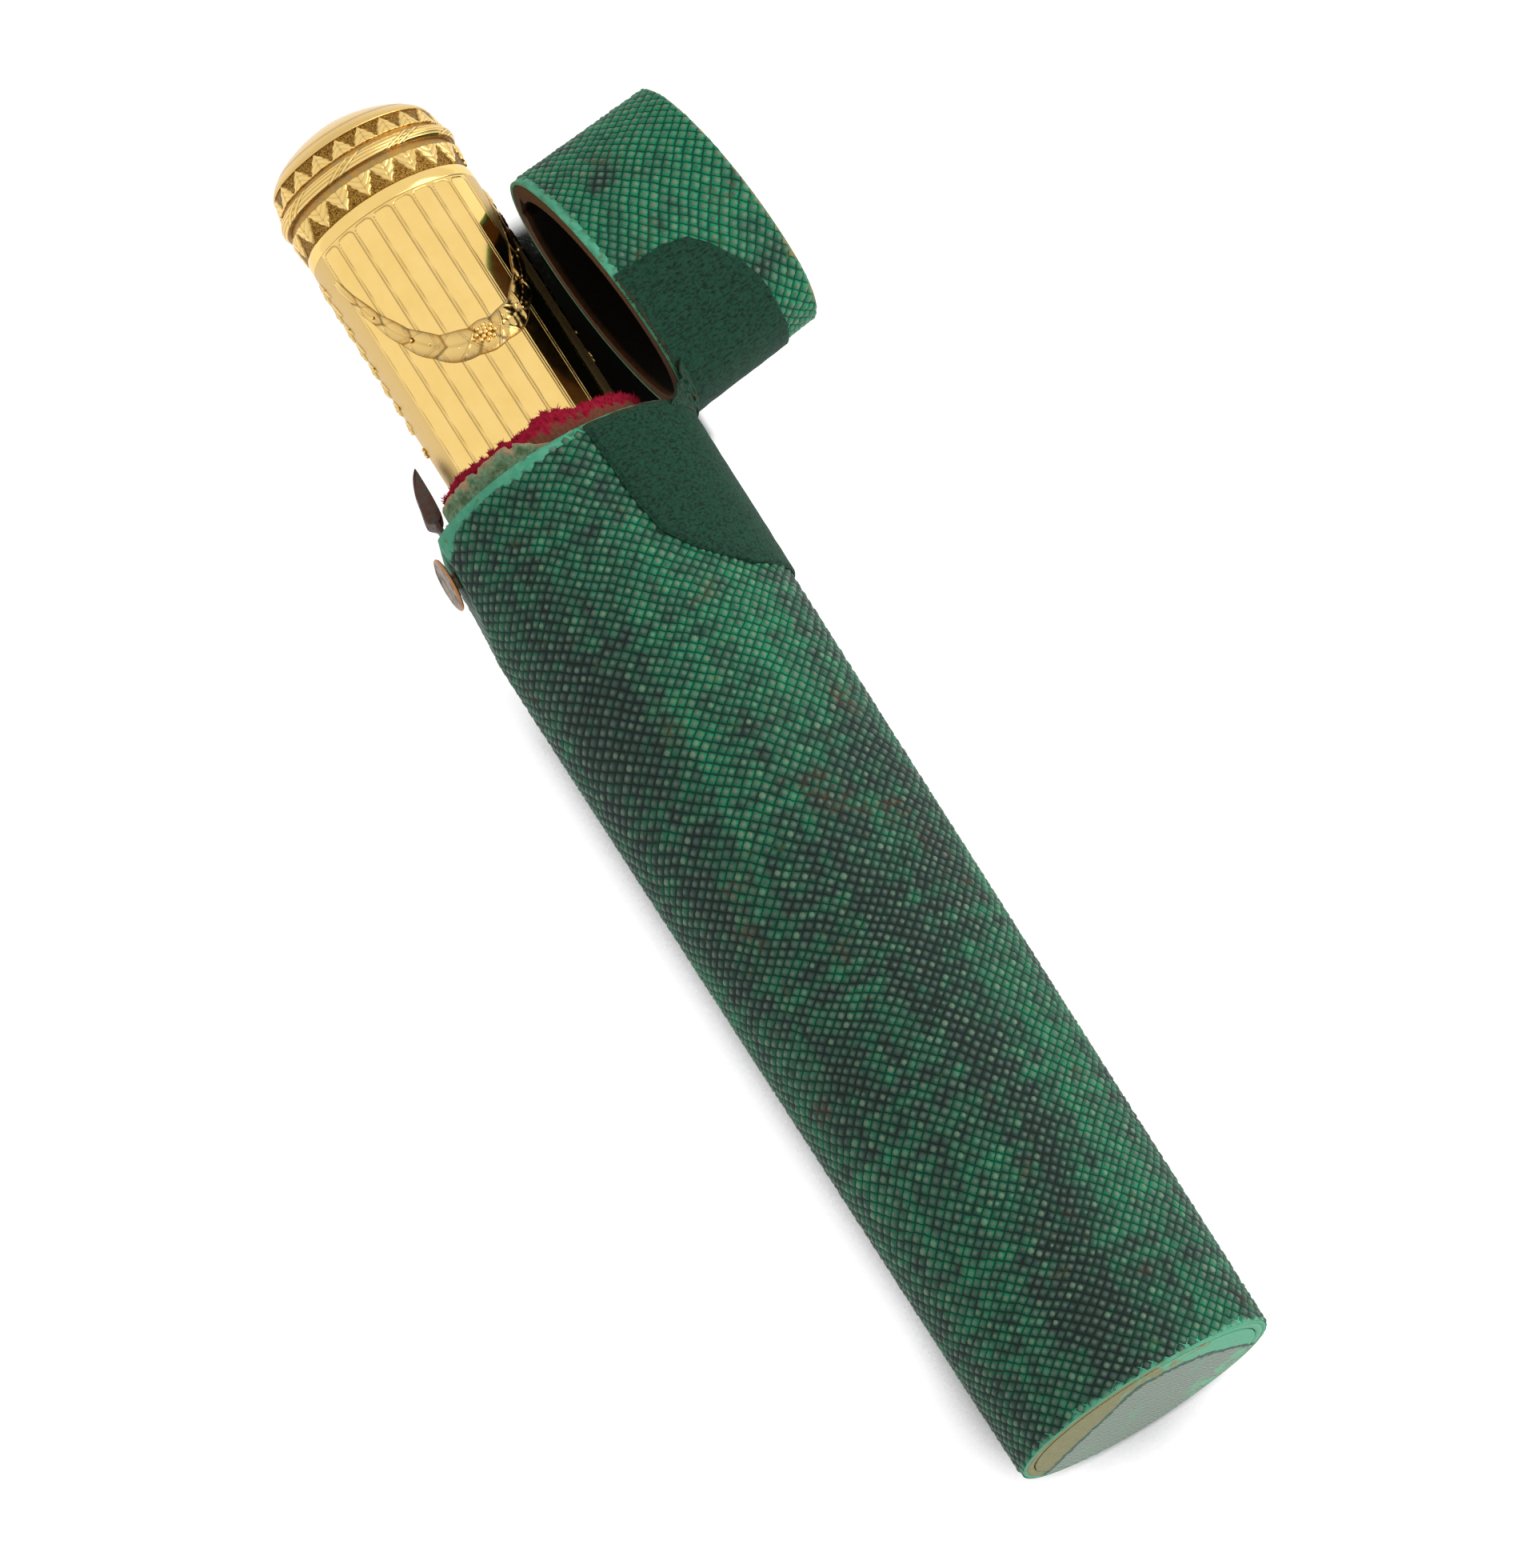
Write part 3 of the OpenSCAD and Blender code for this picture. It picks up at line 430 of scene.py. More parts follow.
# Wood of the lid, stained nearly black inside. Its rim, within a third of a millimetre of the mouth's plane,
# is brown: distance = point . lid's direction - hinge . lid's direction.
def stainedWoodFinish():
    material, tree, shader = startFinish("stained wood")
    turn = math.radians(90 - lid["openDegrees"])
    axis = np.array([math.cos(turn), math.sin(turn), 0.0])
    where = addNode(tree, "TexCoord").outputs["Object"]
    dot = addNode(tree, "VectorMath", {0: where, 1: axis.tolist()}, operation="DOT_PRODUCT").outputs["Value"]
    rim = addRamp(tree, dot, float(axis @ hinge + 0.7) * mm, float(axis @ hinge + 0.2) * mm)
    inside = addMix(tree, addNoise(tree, 1.2, 4), paint(6, 7, 4), paint(26, 22, 14))
    brown = addMix(tree, addNoise(tree, 0.6, 5, 0.7), paint(42, 28, 16), paint(122, 84, 50))
    link(tree, addMix(tree, rim, inside, brown), shader, "Base Color")
    shader.inputs["Roughness"].default_value = 0.8
    shader.inputs["Specular IOR Level"].default_value = 0.15
    addBump(tree, shader, addNoise(tree, 0.3, 4, 0.7), 0.1, 0.6)
    return material


# Dark velvet that lines the lid.
def lidLiningFinish():
    material, tree, shader = startFinish("lid lining")
    link(tree, addMix(tree, addNoise(tree, 2.5, 4), paint(3, 8, 5), paint(14, 28, 20)), shader, "Base Color")
    shader.inputs["Roughness"].default_value = 0.9
    shader.inputs["Specular IOR Level"].default_value = 0.1
    addBump(tree, shader, addNoise(tree, 0.3, 3), 0.05, 0.4)
    return material


# Rusted spring iron.
def ironFinish():
    material, tree, shader = startFinish("rusted iron")
    rust = addRamp(tree, addNoise(tree, 0.7, 6, 0.7), 0.42, 0.62)
    link(tree, addMix(tree, rust, paint(74, 66, 62), paint(98, 58, 40)), shader, "Base Color")
    link(tree, addRamp(tree, rust, 0, 1, 0.7, 0.1), shader, "Metallic")
    link(tree, addRamp(tree, rust, 0, 1, 0.45, 0.75), shader, "Roughness")
    addBump(tree, shader, addNoise(tree, 0.22, 5, 0.7), 0.08, 0.7)
    return material


# Tarnished bronze whose rim is rubbed bright and carries an orange painted highlight.
def bronzeFinish():
    material, tree, shader = startFinish("tarnished bronze")
    tarnish = addRamp(tree, addNoise(tree, 1.1, 5, 0.65), 0.4, 0.65)
    face = addMix(tree, tarnish, paint(132, 112, 90), paint(78, 68, 58))
    link(tree, addMix(tree, attribute(tree, "rubbedRimAndPaintedHighlight"), face, paint(170, 118, 76)), shader, "Base Color")
    shader.inputs["Metallic"].default_value = 0.85
    link(tree, addRamp(tree, tarnish, 0, 1, 0.34, 0.5), shader, "Roughness")
    addBump(tree, shader, addNoise(tree, 0.3, 4, 0.7), 0.04, 0.6)
    return material


gold = goldFinish()
shagreen = shagreenFinish("green shagreen")
disc = discFinish("disc shagreen", 0.45, False)
baseDisc = discFinish("base disc shagreen", 0.45, True)
leather = leatherFinish()
velvet = velvetFinish()
neckBoard = neckFinish()
wood = woodFinish()
stainedWood = stainedWoodFinish()
lidLining = lidLiningFinish()
iron = ironFinish()
bronze = bronzeFinish()

print("shagreen")


# Field of scales on an unrolled sheet, arc by along. The centres are a slanting lattice that drifts so that
# the rows curve, each a little out of place. Round each centre lie two rings of eight points and the eight
# points of its cell's outline, which are means of the neighbouring centres and are shared with them.
def scaleField(arcSpan, alongSpan, seed):
    rowTurn, crossTurn = math.radians(caseSkin["rowAngle"]), math.radians(caseSkin["crossAngle"])
    along = caseSkin["scaleAlong"] * np.array([math.cos(rowTurn), math.sin(rowTurn)])
    across = caseSkin["scaleAcross"] * np.array([math.cos(crossTurn), math.sin(crossTurn)])
    margin = 5.0
    corners = np.array([[a, b] for a in (arcSpan[0] - margin, arcSpan[1] + margin)
                        for b in (alongSpan[0] - margin, alongSpan[1] + margin)])
    steps = corners @ np.linalg.inv(np.array([along, across]))
    low, high = np.floor(steps.min(0)).astype(int), np.ceil(steps.max(0)).astype(int)
    i, j = np.meshgrid(np.arange(low[0], high[0]), np.arange(low[1], high[1]), indexing="ij")
    centre = i[..., None] * along + j[..., None] * across
    u, v = centre[..., 0].copy(), centre[..., 1].copy()
    centre[..., 0] += 1.3 * drift(u, v, 34, seed) + 0.25 * drift(u, v, 7, seed + 1)
    centre[..., 1] += 1.6 * drift(u, v, 40, seed + 2) + 0.25 * drift(u, v, 8, seed + 3)
    centre += np.random.default_rng(seed).normal(0, 0.055, centre.shape)
    return centre


# Skin of scales over an oval tube. surfaceOf turns (arc, along, depth below the tube) into points, and
# bareOf gives, for (arc, along), how far inside the pared strip a place is, in millimetres.
def scaleSkin(name, arcSpan, alongSpan, halves, surfaceOf, bareOf, lightOf, wornOf, seed, body, standsFor):
    centre = scaleField(arcSpan, alongSpan, seed)
    corner = (centre[:-1, :-1] + centre[1:, :-1] + centre[1:, 1:] + centre[:-1, 1:]) / 4
    rows, columns = centre.shape[0] - 2, centre.shape[1] - 2
    inner = centre[1:-1, 1:-1]
    c00, c10 = corner[:-1, :-1], corner[1:, :-1]
    c11, c01 = corner[1:, 1:], corner[:-1, 1:]
    outline = np.stack([c00, (c00 + c10) / 2, c10, (c10 + c11) / 2, c11, (c11 + c01) / 2, c01, (c01 + c00) / 2], 2)
    reach = np.linalg.norm(outline - inner[:, :, None], axis=-1, keepdims=True)
    bead = (outline - inner[:, :, None]) / reach * reach.min(axis=2, keepdims=True)
    skirt, dome = inner[:, :, None] + bead * 0.88, inner[:, :, None] + bead * 0.5
    size = np.random.default_rng(seed + 9).uniform(0.8, 1.0, (rows, columns))
    tone = np.random.default_rng(seed + 5).uniform(0, 1, (rows, columns))

    # corners and edge middles are numbered once, so that neighbouring scales share them
    cornerId = np.arange((rows + 1) * (columns + 1)).reshape(rows + 1, columns + 1)
    start = cornerId.size
    lowId = start + np.arange(rows * (columns + 1)).reshape(rows, columns + 1)
    start += lowId.size
    sideId = start + np.arange((rows + 1) * columns).reshape(rows + 1, columns)
    start += sideId.size
    flatCorner = corner.reshape(-1, 2)
    lowMid = ((corner[:-1] + corner[1:]) / 2).reshape(-1, 2)
    sideMid = ((corner[:, :-1] + corner[:, 1:]) / 2).reshape(-1, 2)
    skirtId = start + np.arange(rows * columns * 8).reshape(rows, columns, 8)
    start += skirtId.size
    domeId = start + np.arange(rows * columns * 8).reshape(rows, columns, 8)
    start += domeId.size
    centreId = start + np.arange(rows * columns).reshape(rows, columns)
    outId = np.stack([cornerId[:-1, :-1], lowId[:, :-1], cornerId[1:, :-1], sideId[1:, :],
                      cornerId[1:, 1:], lowId[:, 1:], cornerId[:-1, 1:], sideId[:-1, :]], 2)
    place = np.concatenate([flatCorner, lowMid, sideMid, skirt.reshape(-1, 2), dome.reshape(-1, 2), inner.reshape(-1, 2)])
    groove = len(flatCorner) + len(lowMid) + len(sideMid)
    around, toneAround = np.repeat(size.ravel(), 8), np.repeat(tone.ravel(), 8)
    crown = np.concatenate([np.zeros(groove), around * 0.42, around * 0.88, size.ravel()])
    toneAt = np.concatenate([np.full(groove, 0.5), toneAround, toneAround, tone.ravel()])

    arc = np.clip(place[:, 0], *arcSpan)
    along = np.clip(place[:, 1], *alongSpan)
    whole = np.repeat(bareOf(inner[..., 0].ravel(), inner[..., 1].ravel()), 8)
    bareAt = np.concatenate([bareOf(arc, along)[:groove] - 0.45, whole, whole, whole[::8]])
    bareAt = 0.5 * bareAt + 0.5 * bareOf(arc, along)
    bare = smooth(-0.12, 0.12, bareAt)
    height = crown * (1 - bare) + 0.25 * bare
    points = surfaceOf(arc, along, caseSkin["relief"] * (1 - height))
    nextOut, nextSkirt, nextDome = (np.roll(ring, -1, axis=2) for ring in (outId, skirtId, domeId))
    quads = np.concatenate([np.stack([outId, nextOut, nextSkirt, skirtId], -1),
                            np.stack([skirtId, nextSkirt, nextDome, domeId], -1)], 2)
    caps = np.stack([domeId, nextDome, np.broadcast_to(centreId[..., None], domeId.shape)], -1)
    inside = ((outline[..., 0].max(2) > arcSpan[0]) & (outline[..., 0].min(2) < arcSpan[1])
              & (outline[..., 1].max(2) > alongSpan[0]) & (outline[..., 1].min(2) < alongSpan[1]))
    for half, (left, right) in halves.items():
        chosen = inside & (inner[..., 0] >= left) & (inner[..., 0] < right)
        faces = [quads[chosen].reshape(-1, 4), caps[chosen].reshape(-1, 3)]
        used = np.unique(np.concatenate([f.ravel() for f in faces]))
        number = np.full(len(place), -1)
        number[used] = np.arange(len(used))
        makePiece(name + half, points[used], [number[f] for f in faces], body, shagreen,
                  standsFor if half == next(iter(halves)) else (),
                  {"crown": crown[used], "tone": toneAt[used], "bare": bare[used],
                   "light": lightOf(arc, along)[used], "worn": wornOf(arc, along)[used]})


# Outer surface of the case body: the mouth's oval drawn in by the taper, and hollowed round the button.
scoop = {"depth": 1.15, "length": 14.0}
scoopRadius = (scoop["length"] - 1) ** 2 / (2 * scoop["depth"])
perimeter = 4 * quarterArc(caseSkin["out"] - caseSkin["taper"] / 2)
quarterOut = perimeter / 4


def caseOut(y):
    return caseSkin["out"] - caseSkin["taper"] * (1 - y / mouth)


def hollow(points):
    across = np.minimum(np.abs(points[..., 1] - (mouth - 1)) / scoopRadius, 1)
    limit = oval["halfWide"] + caseSkin["out"] - scoop["depth"] + scoopRadius * (1 - np.sqrt(1 - across**2))
    points[..., 0] = np.maximum(points[..., 0], -limit)
    return points


def caseSurface(arc, along, depth):
    normal = normalAt(arc / perimeter * 4 * quarterArc(0.0))
    return hollow(ovalPoint(normal, along, caseOut(along) - depth))


# The pared strip at the mouth starts at the hinge patch and is widest down to the button.
def caseBare(arc, along):
    stripMouth = (0.3 + 0.75 * smooth(quarterOut - 4, quarterOut + 4, arc) + 1.6 * smooth(1.6, 1.85, arc / quarterOut)
                  * smooth(2.5, 2.2, arc / quarterOut))
    stripMouth = stripMouth * (1 + 0.5 * drift(arc, along * 0, 5, 21)) + 0.22 * drift(arc, along * 0, 1.8, 22)
    stripBase = caseSkin["baseStrip"] + 0.4 * drift(arc, along * 0, 9, 23) + 0.15 * drift(arc, along * 0, 2.0, 24)
    return np.maximum(along - mouth + stripMouth, stripBase - along)


# Tan shows where the base end's edge is rubbed at the two narrow ends.
def caseWorn(arc, along):
    nearEnd = np.abs(np.cos(arc / quarterOut * math.pi / 2)) ** 6
    edge = smooth(3.6, 0.4, along + 1.4 * drift(arc, along, 2.0, 25)) * nearEnd
    return edge * smooth(-0.1, 0.2, drift(arc, along, 1.3, 26))


# Lighter and darker patches of the case's dye: quarter of the way round, along, their half widths, amount.
dyePatches = [
    (0.72, 82, 0.30, 15, 0.34), (1.18, 73, 0.12, 7, 0.24), (1.50, 87, 0.30, 13, -0.22), (0.84, 42, 0.16, 26, -0.30),
    (0.42, 22, 0.22, 24, 0.16), (1.50, 16, 0.30, 12, 0.14), (1.16, 7, 0.26, 7, -0.26), (1.05, 97, 0.35, 7, 0.14),
    (0.35, 62, 0.18, 14, -0.20), (1.62, 55, 0.20, 16, -0.12),
]


def caseLight(arc, along):
    light = 0.4 + 0.12 * drift(arc, along, 34, 31) + 0.22 * drift(arc, along, 12, 32) + 0.36 * drift(arc, along, 3.6, 33)
    for quarter, y, wide, deep, amount in dyePatches:
        light = light + amount * np.exp(-((arc / quarterOut - quarter) / wide) ** 2 - ((along - y) / deep) ** 2)
    return light


scaleSkin("caseShagreen", (-quarterOut, 3 * quarterOut), (0.12, mouth - 0.02),
          {"UpperHingeSide": (-0.2, quarterOut), "UpperCatchSide": (quarterOut, 2 * quarterOut + 0.2),
           "UnderHingeSide": (-quarterOut - 5, -0.2), "UnderCatchSide": (2 * quarterOut + 0.2, 3 * quarterOut + 5)},
          caseSurface, caseBare, caseLight, caseWorn, 41, "case", ["case_skin"])


def lidOut(y):
    return caseSkin["out"] - lid["taper"] * (y - mouth) / lid["length"]


def lidSurface(arc, along, depth):
    normal = normalAt(arc / perimeter * 4 * quarterArc(0.0))
    rounding = 0.35 * smooth(mouth + lid["length"] - 0.6, mouth + lid["length"], along) ** 2
    return swing(ovalPoint(normal, along, lidOut(along) - depth - rounding))


def lidBare(arc, along):
    stripMouth = lid["edgeStrip"] + 0.2 * drift(arc, along * 0, 8, 51) + 0.1 * drift(arc, along * 0, 1.6, 52)
    stripEnd = lid["endStrip"] + 0.5 * drift(arc, along * 0, 6, 53)
    return np.maximum(stripMouth - (along - mouth), along - (mouth + lid["length"] - stripEnd))


lidPatches = [
    (1.75, 112, 0.26, 9, -0.34), (1.30, 114, 0.12, 4.5, -0.4), (1.40, 122, 0.3, 3.5, 0.25), (0.45, 121, 0.13, 4.5, -0.5),
    (0.95, 109.5, 0.2, 3, -0.2),
]


def lidLight(arc, along):
    light = 0.88 + 0.25 * drift(arc, along, 13, 61) + 0.5 * drift(arc, along, 4.0, 62)
    for quarter, y, wide, deep, amount in lidPatches:
        light = light + amount * np.exp(-((arc / quarterOut - quarter) / wide) ** 2 - ((along - y) / deep) ** 2)
    return light



def lidWorn(arc, along):
    return smooth(mouth + lid["length"] - 1.3, mouth + lid["length"] - 0.2, along + 0.8 * drift(arc, along, 1.6, 54))


scaleSkin("lidShagreen", (-quarterOut, 3 * quarterOut), (mouth + 0.02, mouth + lid["length"] - 0.05),
          {"Upper": (-0.2, 2 * quarterOut + 0.2), "UnderHingeSide": (-quarterOut - 5, -0.2),
           "UnderCatchSide": (2 * quarterOut + 0.2, 3 * quarterOut + 5)},
          lidSurface, lidBare, lidLight, lidWorn, 71, "lid", ["lid_skin"])


# Cut edge and fold of a skin: a closed ring whose profile runs (t, y, worn) up its outside and back inside.
def skinRing(name, profile, body, standsFor=(), swung=False, finish=shagreen):
    columns = 360
    arcs = np.linspace(0, 4 * quarterArc(0.0), columns, endpoint=False)
    profile = np.array(profile)
    t = profile[:, 0][:, None] + 0.05 * drift(arcs[None, :], 0, 3, 81)
    y = profile[:, 1][:, None] + 0 * arcs[None, :]
    points = hollow(ringPoints(arcs, t, y)) if body == "case" else ringPoints(arcs, t, y)
    points = swing(points) if swung else points
    count = points.shape[0] * columns
    patchy = smooth(-0.35, 0.1, drift(arcs[None, :] + 0 * t, 3 * t, 4, 84)) * profile[:, 2][:, None]
    makePiece(name, points, [gridFaces(len(profile), columns, True, True)], body, finish, standsFor,
              {"crown": np.full(count, 0.2), "tone": np.full(count, 0.5), "bare": np.full(count, 1.0),
               "light": np.full(count, 0.5), "worn": patchy})


skinOut = caseSkin["out"]
baseOut = caseOut(0.0)
skinRing("caseMouthEdge", [(skinOut - 0.62, mouth - 0.9, 0), (skinOut - 0.2, mouth - 0.9, 0), (skinOut - 0.2, mouth - 0.03, 0),
                           (skinOut - 0.3, mouth, 0), (skinOut - 0.62, mouth, 0.6)], "case")
skinRing("caseBaseRim", [(baseOut - 1.5, 0.42, 0), (baseOut - 1.5, 0.12, 0), (baseOut - 1.44, 0.05, 0), (baseOut - 0.76, 0.05, 0),
                         (baseOut - 0.7, 0.1, 0), (baseOut - 0.7, 0.42, 0)], "case", finish=baseDisc)
skinRing("caseBaseFold", [(baseOut - 0.74, 0.42, 1), (baseOut - 0.74, 0.12, 1), (baseOut - 0.68, 0.05, 0.6),
                          (baseOut - 0.5, 0.06, 0), (baseOut - 0.32, 0.1, 0),
                          (baseOut - 0.24, 0.24, 0), (baseOut - 0.24, 0.9, 0), (baseOut - 0.6, 0.9, 0), (baseOut - 0.6, 0.42, 0)],
         "case")
lidEnd = mouth + lid["length"]
endOut = lidOut(lidEnd)
skinRing("lidMouthEdge", [(skinOut - 0.62, mouth + 0.03, 0.7), (skinOut - 0.34, mouth + 0.01, 0), (skinOut - 0.2, mouth + 0.04, 0),
                          (skinOut - 0.2, mouth + 0.9, 0), (skinOut - 0.62, mouth + 0.9, 0)], "lid", swung=True)
skinRing("lidEndFold", [(endOut - 0.6, lidEnd - 0.9, 1), (endOut - 0.22, lidEnd - 0.9, 1), (endOut - 0.42, lidEnd - 0.2, 1),
                        (endOut - 0.6, lidEnd - 0.06, 1), (endOut - 1.5, lidEnd - 0.06, 1), (endOut - 1.5, lidEnd - 0.4, 1),
                        (endOut - 0.6, lidEnd - 0.4, 1)], "lid", swung=True)

print("neck and velvet")
neck = {"outer": 2.39, "inner": 1.88, "rise": 3.4, "foot": 2.0}
pile = {"outer": 1.78, "inner": 0.86, "rise": 4.2, "strands": 6000, "strandMm": 0.5}
notch = {"x": -10.4, "halfWide": 1.95, "floor": 2.45}    # opening that the hook moves in


# Places round the mouth: arc of the etui's oval for each of the columns.
def roundMouth(columns):
    return np.linspace(0, 4 * quarterArc(0.0), columns, endpoint=False)


# 1 in the notch at the hook and 0 elsewhere.
def inNotch(place):
    return smooth(notch["halfWide"] + 0.12, notch["halfWide"], np.abs(place[..., 2])) * (place[..., 0] < notch["x"])


# The neck's edge is worn down from the middle of the upper face to the hinge.
def neckTop(arcs):
    place = ovalPoint(normalAt(arcs), 0.0, 2.0)
    worn = smooth(-4.2, 0.8, place[..., 0])
    chips = 0.25 * drift(arcs, 0, 3.6, 91) + 0.14 * drift(arcs, 0, 0.8, 92) - 0.5 * smooth(0.3, 0.5, drift(arcs, 0, 1.7, 96))
    top = mouth + neck["rise"] * (1 - 0.7 * worn) - 0.15 + chips
    return top + inNotch(place) * (mouth - neck["foot"] + 0.3 - top)


def makeNeck():
    arcs = roundMouth(900)
    top = neckTop(arcs)
    share = np.array([0.0, 0.25, 0.5, 0.75, 0.9, 1.0, 1.0, 0.9, 0.0])[:, None]
    t = np.array([neck["outer"]] * 5 + [neck["outer"] - 0.06, neck["inner"] + 0.1, neck["inner"], neck["inner"]])[:, None]
    foot = mouth - neck["foot"]
    y = foot + (top[None, :] - foot) * share
    t = t + 0.05 * drift(arcs[None, :], y, 2.5, 93)
    t = t - (t - neck["inner"]) * 0.9 * inNotch(ovalPoint(normalAt(arcs), 0.0, 2.0))[None, :]
    chip = smooth(0.9, 1.0, share + 0.12 * drift(arcs[None, :], 0 * y, 1.7, 94)) + 0 * t
    makePiece("neckBoard", ringPoints(arcs, t, y), [gridFaces(9, 900, True, True)], "case", neckBoard,
              ["case_neck"], {"chip": chip})


makeNeck()


# Pile tube with an uneven top, and thin blades of pile that stand out from its lip.
def makeLining():
    arcs = roundMouth(700)
    rise = pile["rise"]
    place = ovalPoint(normalAt(arcs), 0.0, 1.5)
    open_ = inNotch(place)
    lift = 0.25 * drift(arcs, 0, 3.0, 101) + 0.2 * drift(arcs, 0, 1.1, 102)
    lift = lift - 0.75 * smooth(1.5, 4.5, place[..., 0])
    lift = lift - 0.45 * smooth(1.5, -1.5, place[..., 0]) * smooth(-7.5, -5.0, place[..., 0])
    floor = boxMm("case_floor_pad")[1][1] + 0.05
    outside = [(pile["outer"], floor), (pile["outer"], mouth - 3)]
    outside += [(pile["outer"], mouth + k * rise / 12) for k in range(12)]
    over = [(pile["outer"] - 0.08, mouth + rise - 0.1), (pile["outer"] - 0.4, mouth + rise),
            (pile["inner"] + 0.1, mouth + rise - 0.15)]
    inside = [(pile["inner"], mouth + rise - 0.7), (pile["inner"], mouth + 1), (pile["inner"], mouth - 4), (pile["inner"], floor)]
    profile = np.array(outside + over + inside)
    t, y = profile[:, 0][:, None], profile[:, 1][:, None]
    high = smooth(mouth + 0.8, mouth + rise, y)
    y = y + lift[None, :] * high
    y = np.where(open_[None, :] > 0.5, np.minimum(y, mouth + notch["floor"]), y)
    bulge = (0.2 * drift(arcs[None, :], y, 1.2, 103) + 0.16 * drift(arcs[None, :], y, 0.55, 104)) * smooth(mouth, mouth + 1, y)
    t = t + np.where(t > 1.3, bulge - 0.06, 0)
    backing = smooth(mouth + 2.9, mouth + 2.2, y - lift[None, :] * 0.4 + 1.1 * drift(arcs[None, :], y, 1.2, 105)) * (t > 1.3)
    makePiece("velvetLining", ringPoints(arcs, t, y), [gridFaces(len(profile), 700, True, True)], "case", velvet,
              ["case_lining"], {"backing": backing})

    count = pile["strands"]
    arc = rng.uniform(0, 4 * quarterArc(0.0), count)
    inward = rng.uniform(0, 1, count)
    rootT = pile["outer"] - 0.7 * inward
    rootY = mouth + np.where(inward < 0.3, rng.uniform(rise - 1.3, rise - 0.1, count), rise - 0.12)
    rootY = rootY + np.interp(arc, arcs, lift) - 0.1
    kept = np.interp(arc, arcs, open_) < 0.01
    length = pile["strandMm"] * rng.uniform(0.3, 1.0, count) * np.clip(1 + 1.6 * drift(arc, 0, 1.5, 106), 0.3, 2.2)
    lean, side = rng.uniform(-0.2, 0.8, count) * (1 - inward), rng.normal(0, 0.35, count)
    wide = 0.06
    along = np.array([0.0, 0.0, 0.55, 0.55, 1.0])
    offset = np.array([-wide, wide, wide * 0.8, -wide * 0.8, 0.0])
    s = arc[:, None] + offset[None, :] + side[:, None] * length[:, None] * along[None, :] ** 1.5
    t = rootT[:, None] + lean[:, None] * length[:, None] * along[None, :]
    y = rootY[:, None] + length[:, None] * along[None, :] * 0.85
    t = np.minimum(t, pile["outer"] + 0.25)
    first = 5 * np.arange(int(kept.sum()))[:, None]
    makePiece("velvetPile", ovalPoint(normalAt(s), y, t)[kept],
              [first + np.array([[0, 1, 2, 3]]), first + np.array([[3, 2, 4]])], "case", velvet, (),
              {"backing": np.zeros(5 * int(kept.sum()))})


makeLining()

print("etui")
flute = {"count": 8, "width": 2.3, "gap": 0.3, "corner": 0.6, "line": 0.045, "depth": 0.06}
head = {
    "fluteTop": boxMm("cap_band")[0][1],
    "lowerBorder": boxMm("cap_lower_border"),
    "ring": boxMm("cap_reeded_ring"),
    "upperBorder": boxMm("cap_upper_border"),
    "dome": boxMm("cap_dome"),
    "in": -0.25,
    "leaves": 20,
}
joint = boxMm("cap_tube")[0][1]
wholeArc = 4 * quarterArc(0.0)


# Columns of the fluted tube: close together by the milled lines, wide apart on flutes and pilasters.
def fluteColumns():
    half = flute["count"] / 2 * flute["width"]
    fine = np.linspace(-0.78, 0.78, 33)
    columns = []
    for face in (1, 3):
        for line in range(flute["count"] + 1):
            middle = face * wholeArc / 4 - half + line * flute["width"]
            columns += list(middle + fine) + ([middle + flute["width"] / 2] if line < flute["count"] else [])
        pilaster = wholeArc / 2 - 2 * half - 2 * 0.78
        columns += list(face * wholeArc / 4 + half + 0.78 + pilaster * np.linspace(0, 1, 11)[1:-1])
    return np.sort(np.mod(np.array(columns), wholeArc))


# Distance outside the outline of the nearest flute, a rectangle with rounded top corners, and how far across
# that flute the place lies. Pilasters are as far outside as they are wide.
def fluteDistance(arc, y, top):
    across = np.mod(arc, wholeArc / 2) - wholeArc / 4
    half = flute["count"] / 2 * flute["width"]
    middle = (np.clip(np.floor((across + half) / flute["width"]), 0, flute["count"] - 1) + 0.5) * flute["width"] - half
    q = across - middle
    inset = flute["corner"]
    px = np.abs(q) - ((flute["width"] - flute["gap"]) / 2 - inset)
    py = y - (top - inset)
    distance = np.hypot(np.maximum(px, 0), np.maximum(py, 0)) + np.minimum(np.maximum(px, py), 0) - inset
    return distance, q, np.abs(across) > half + 0.05


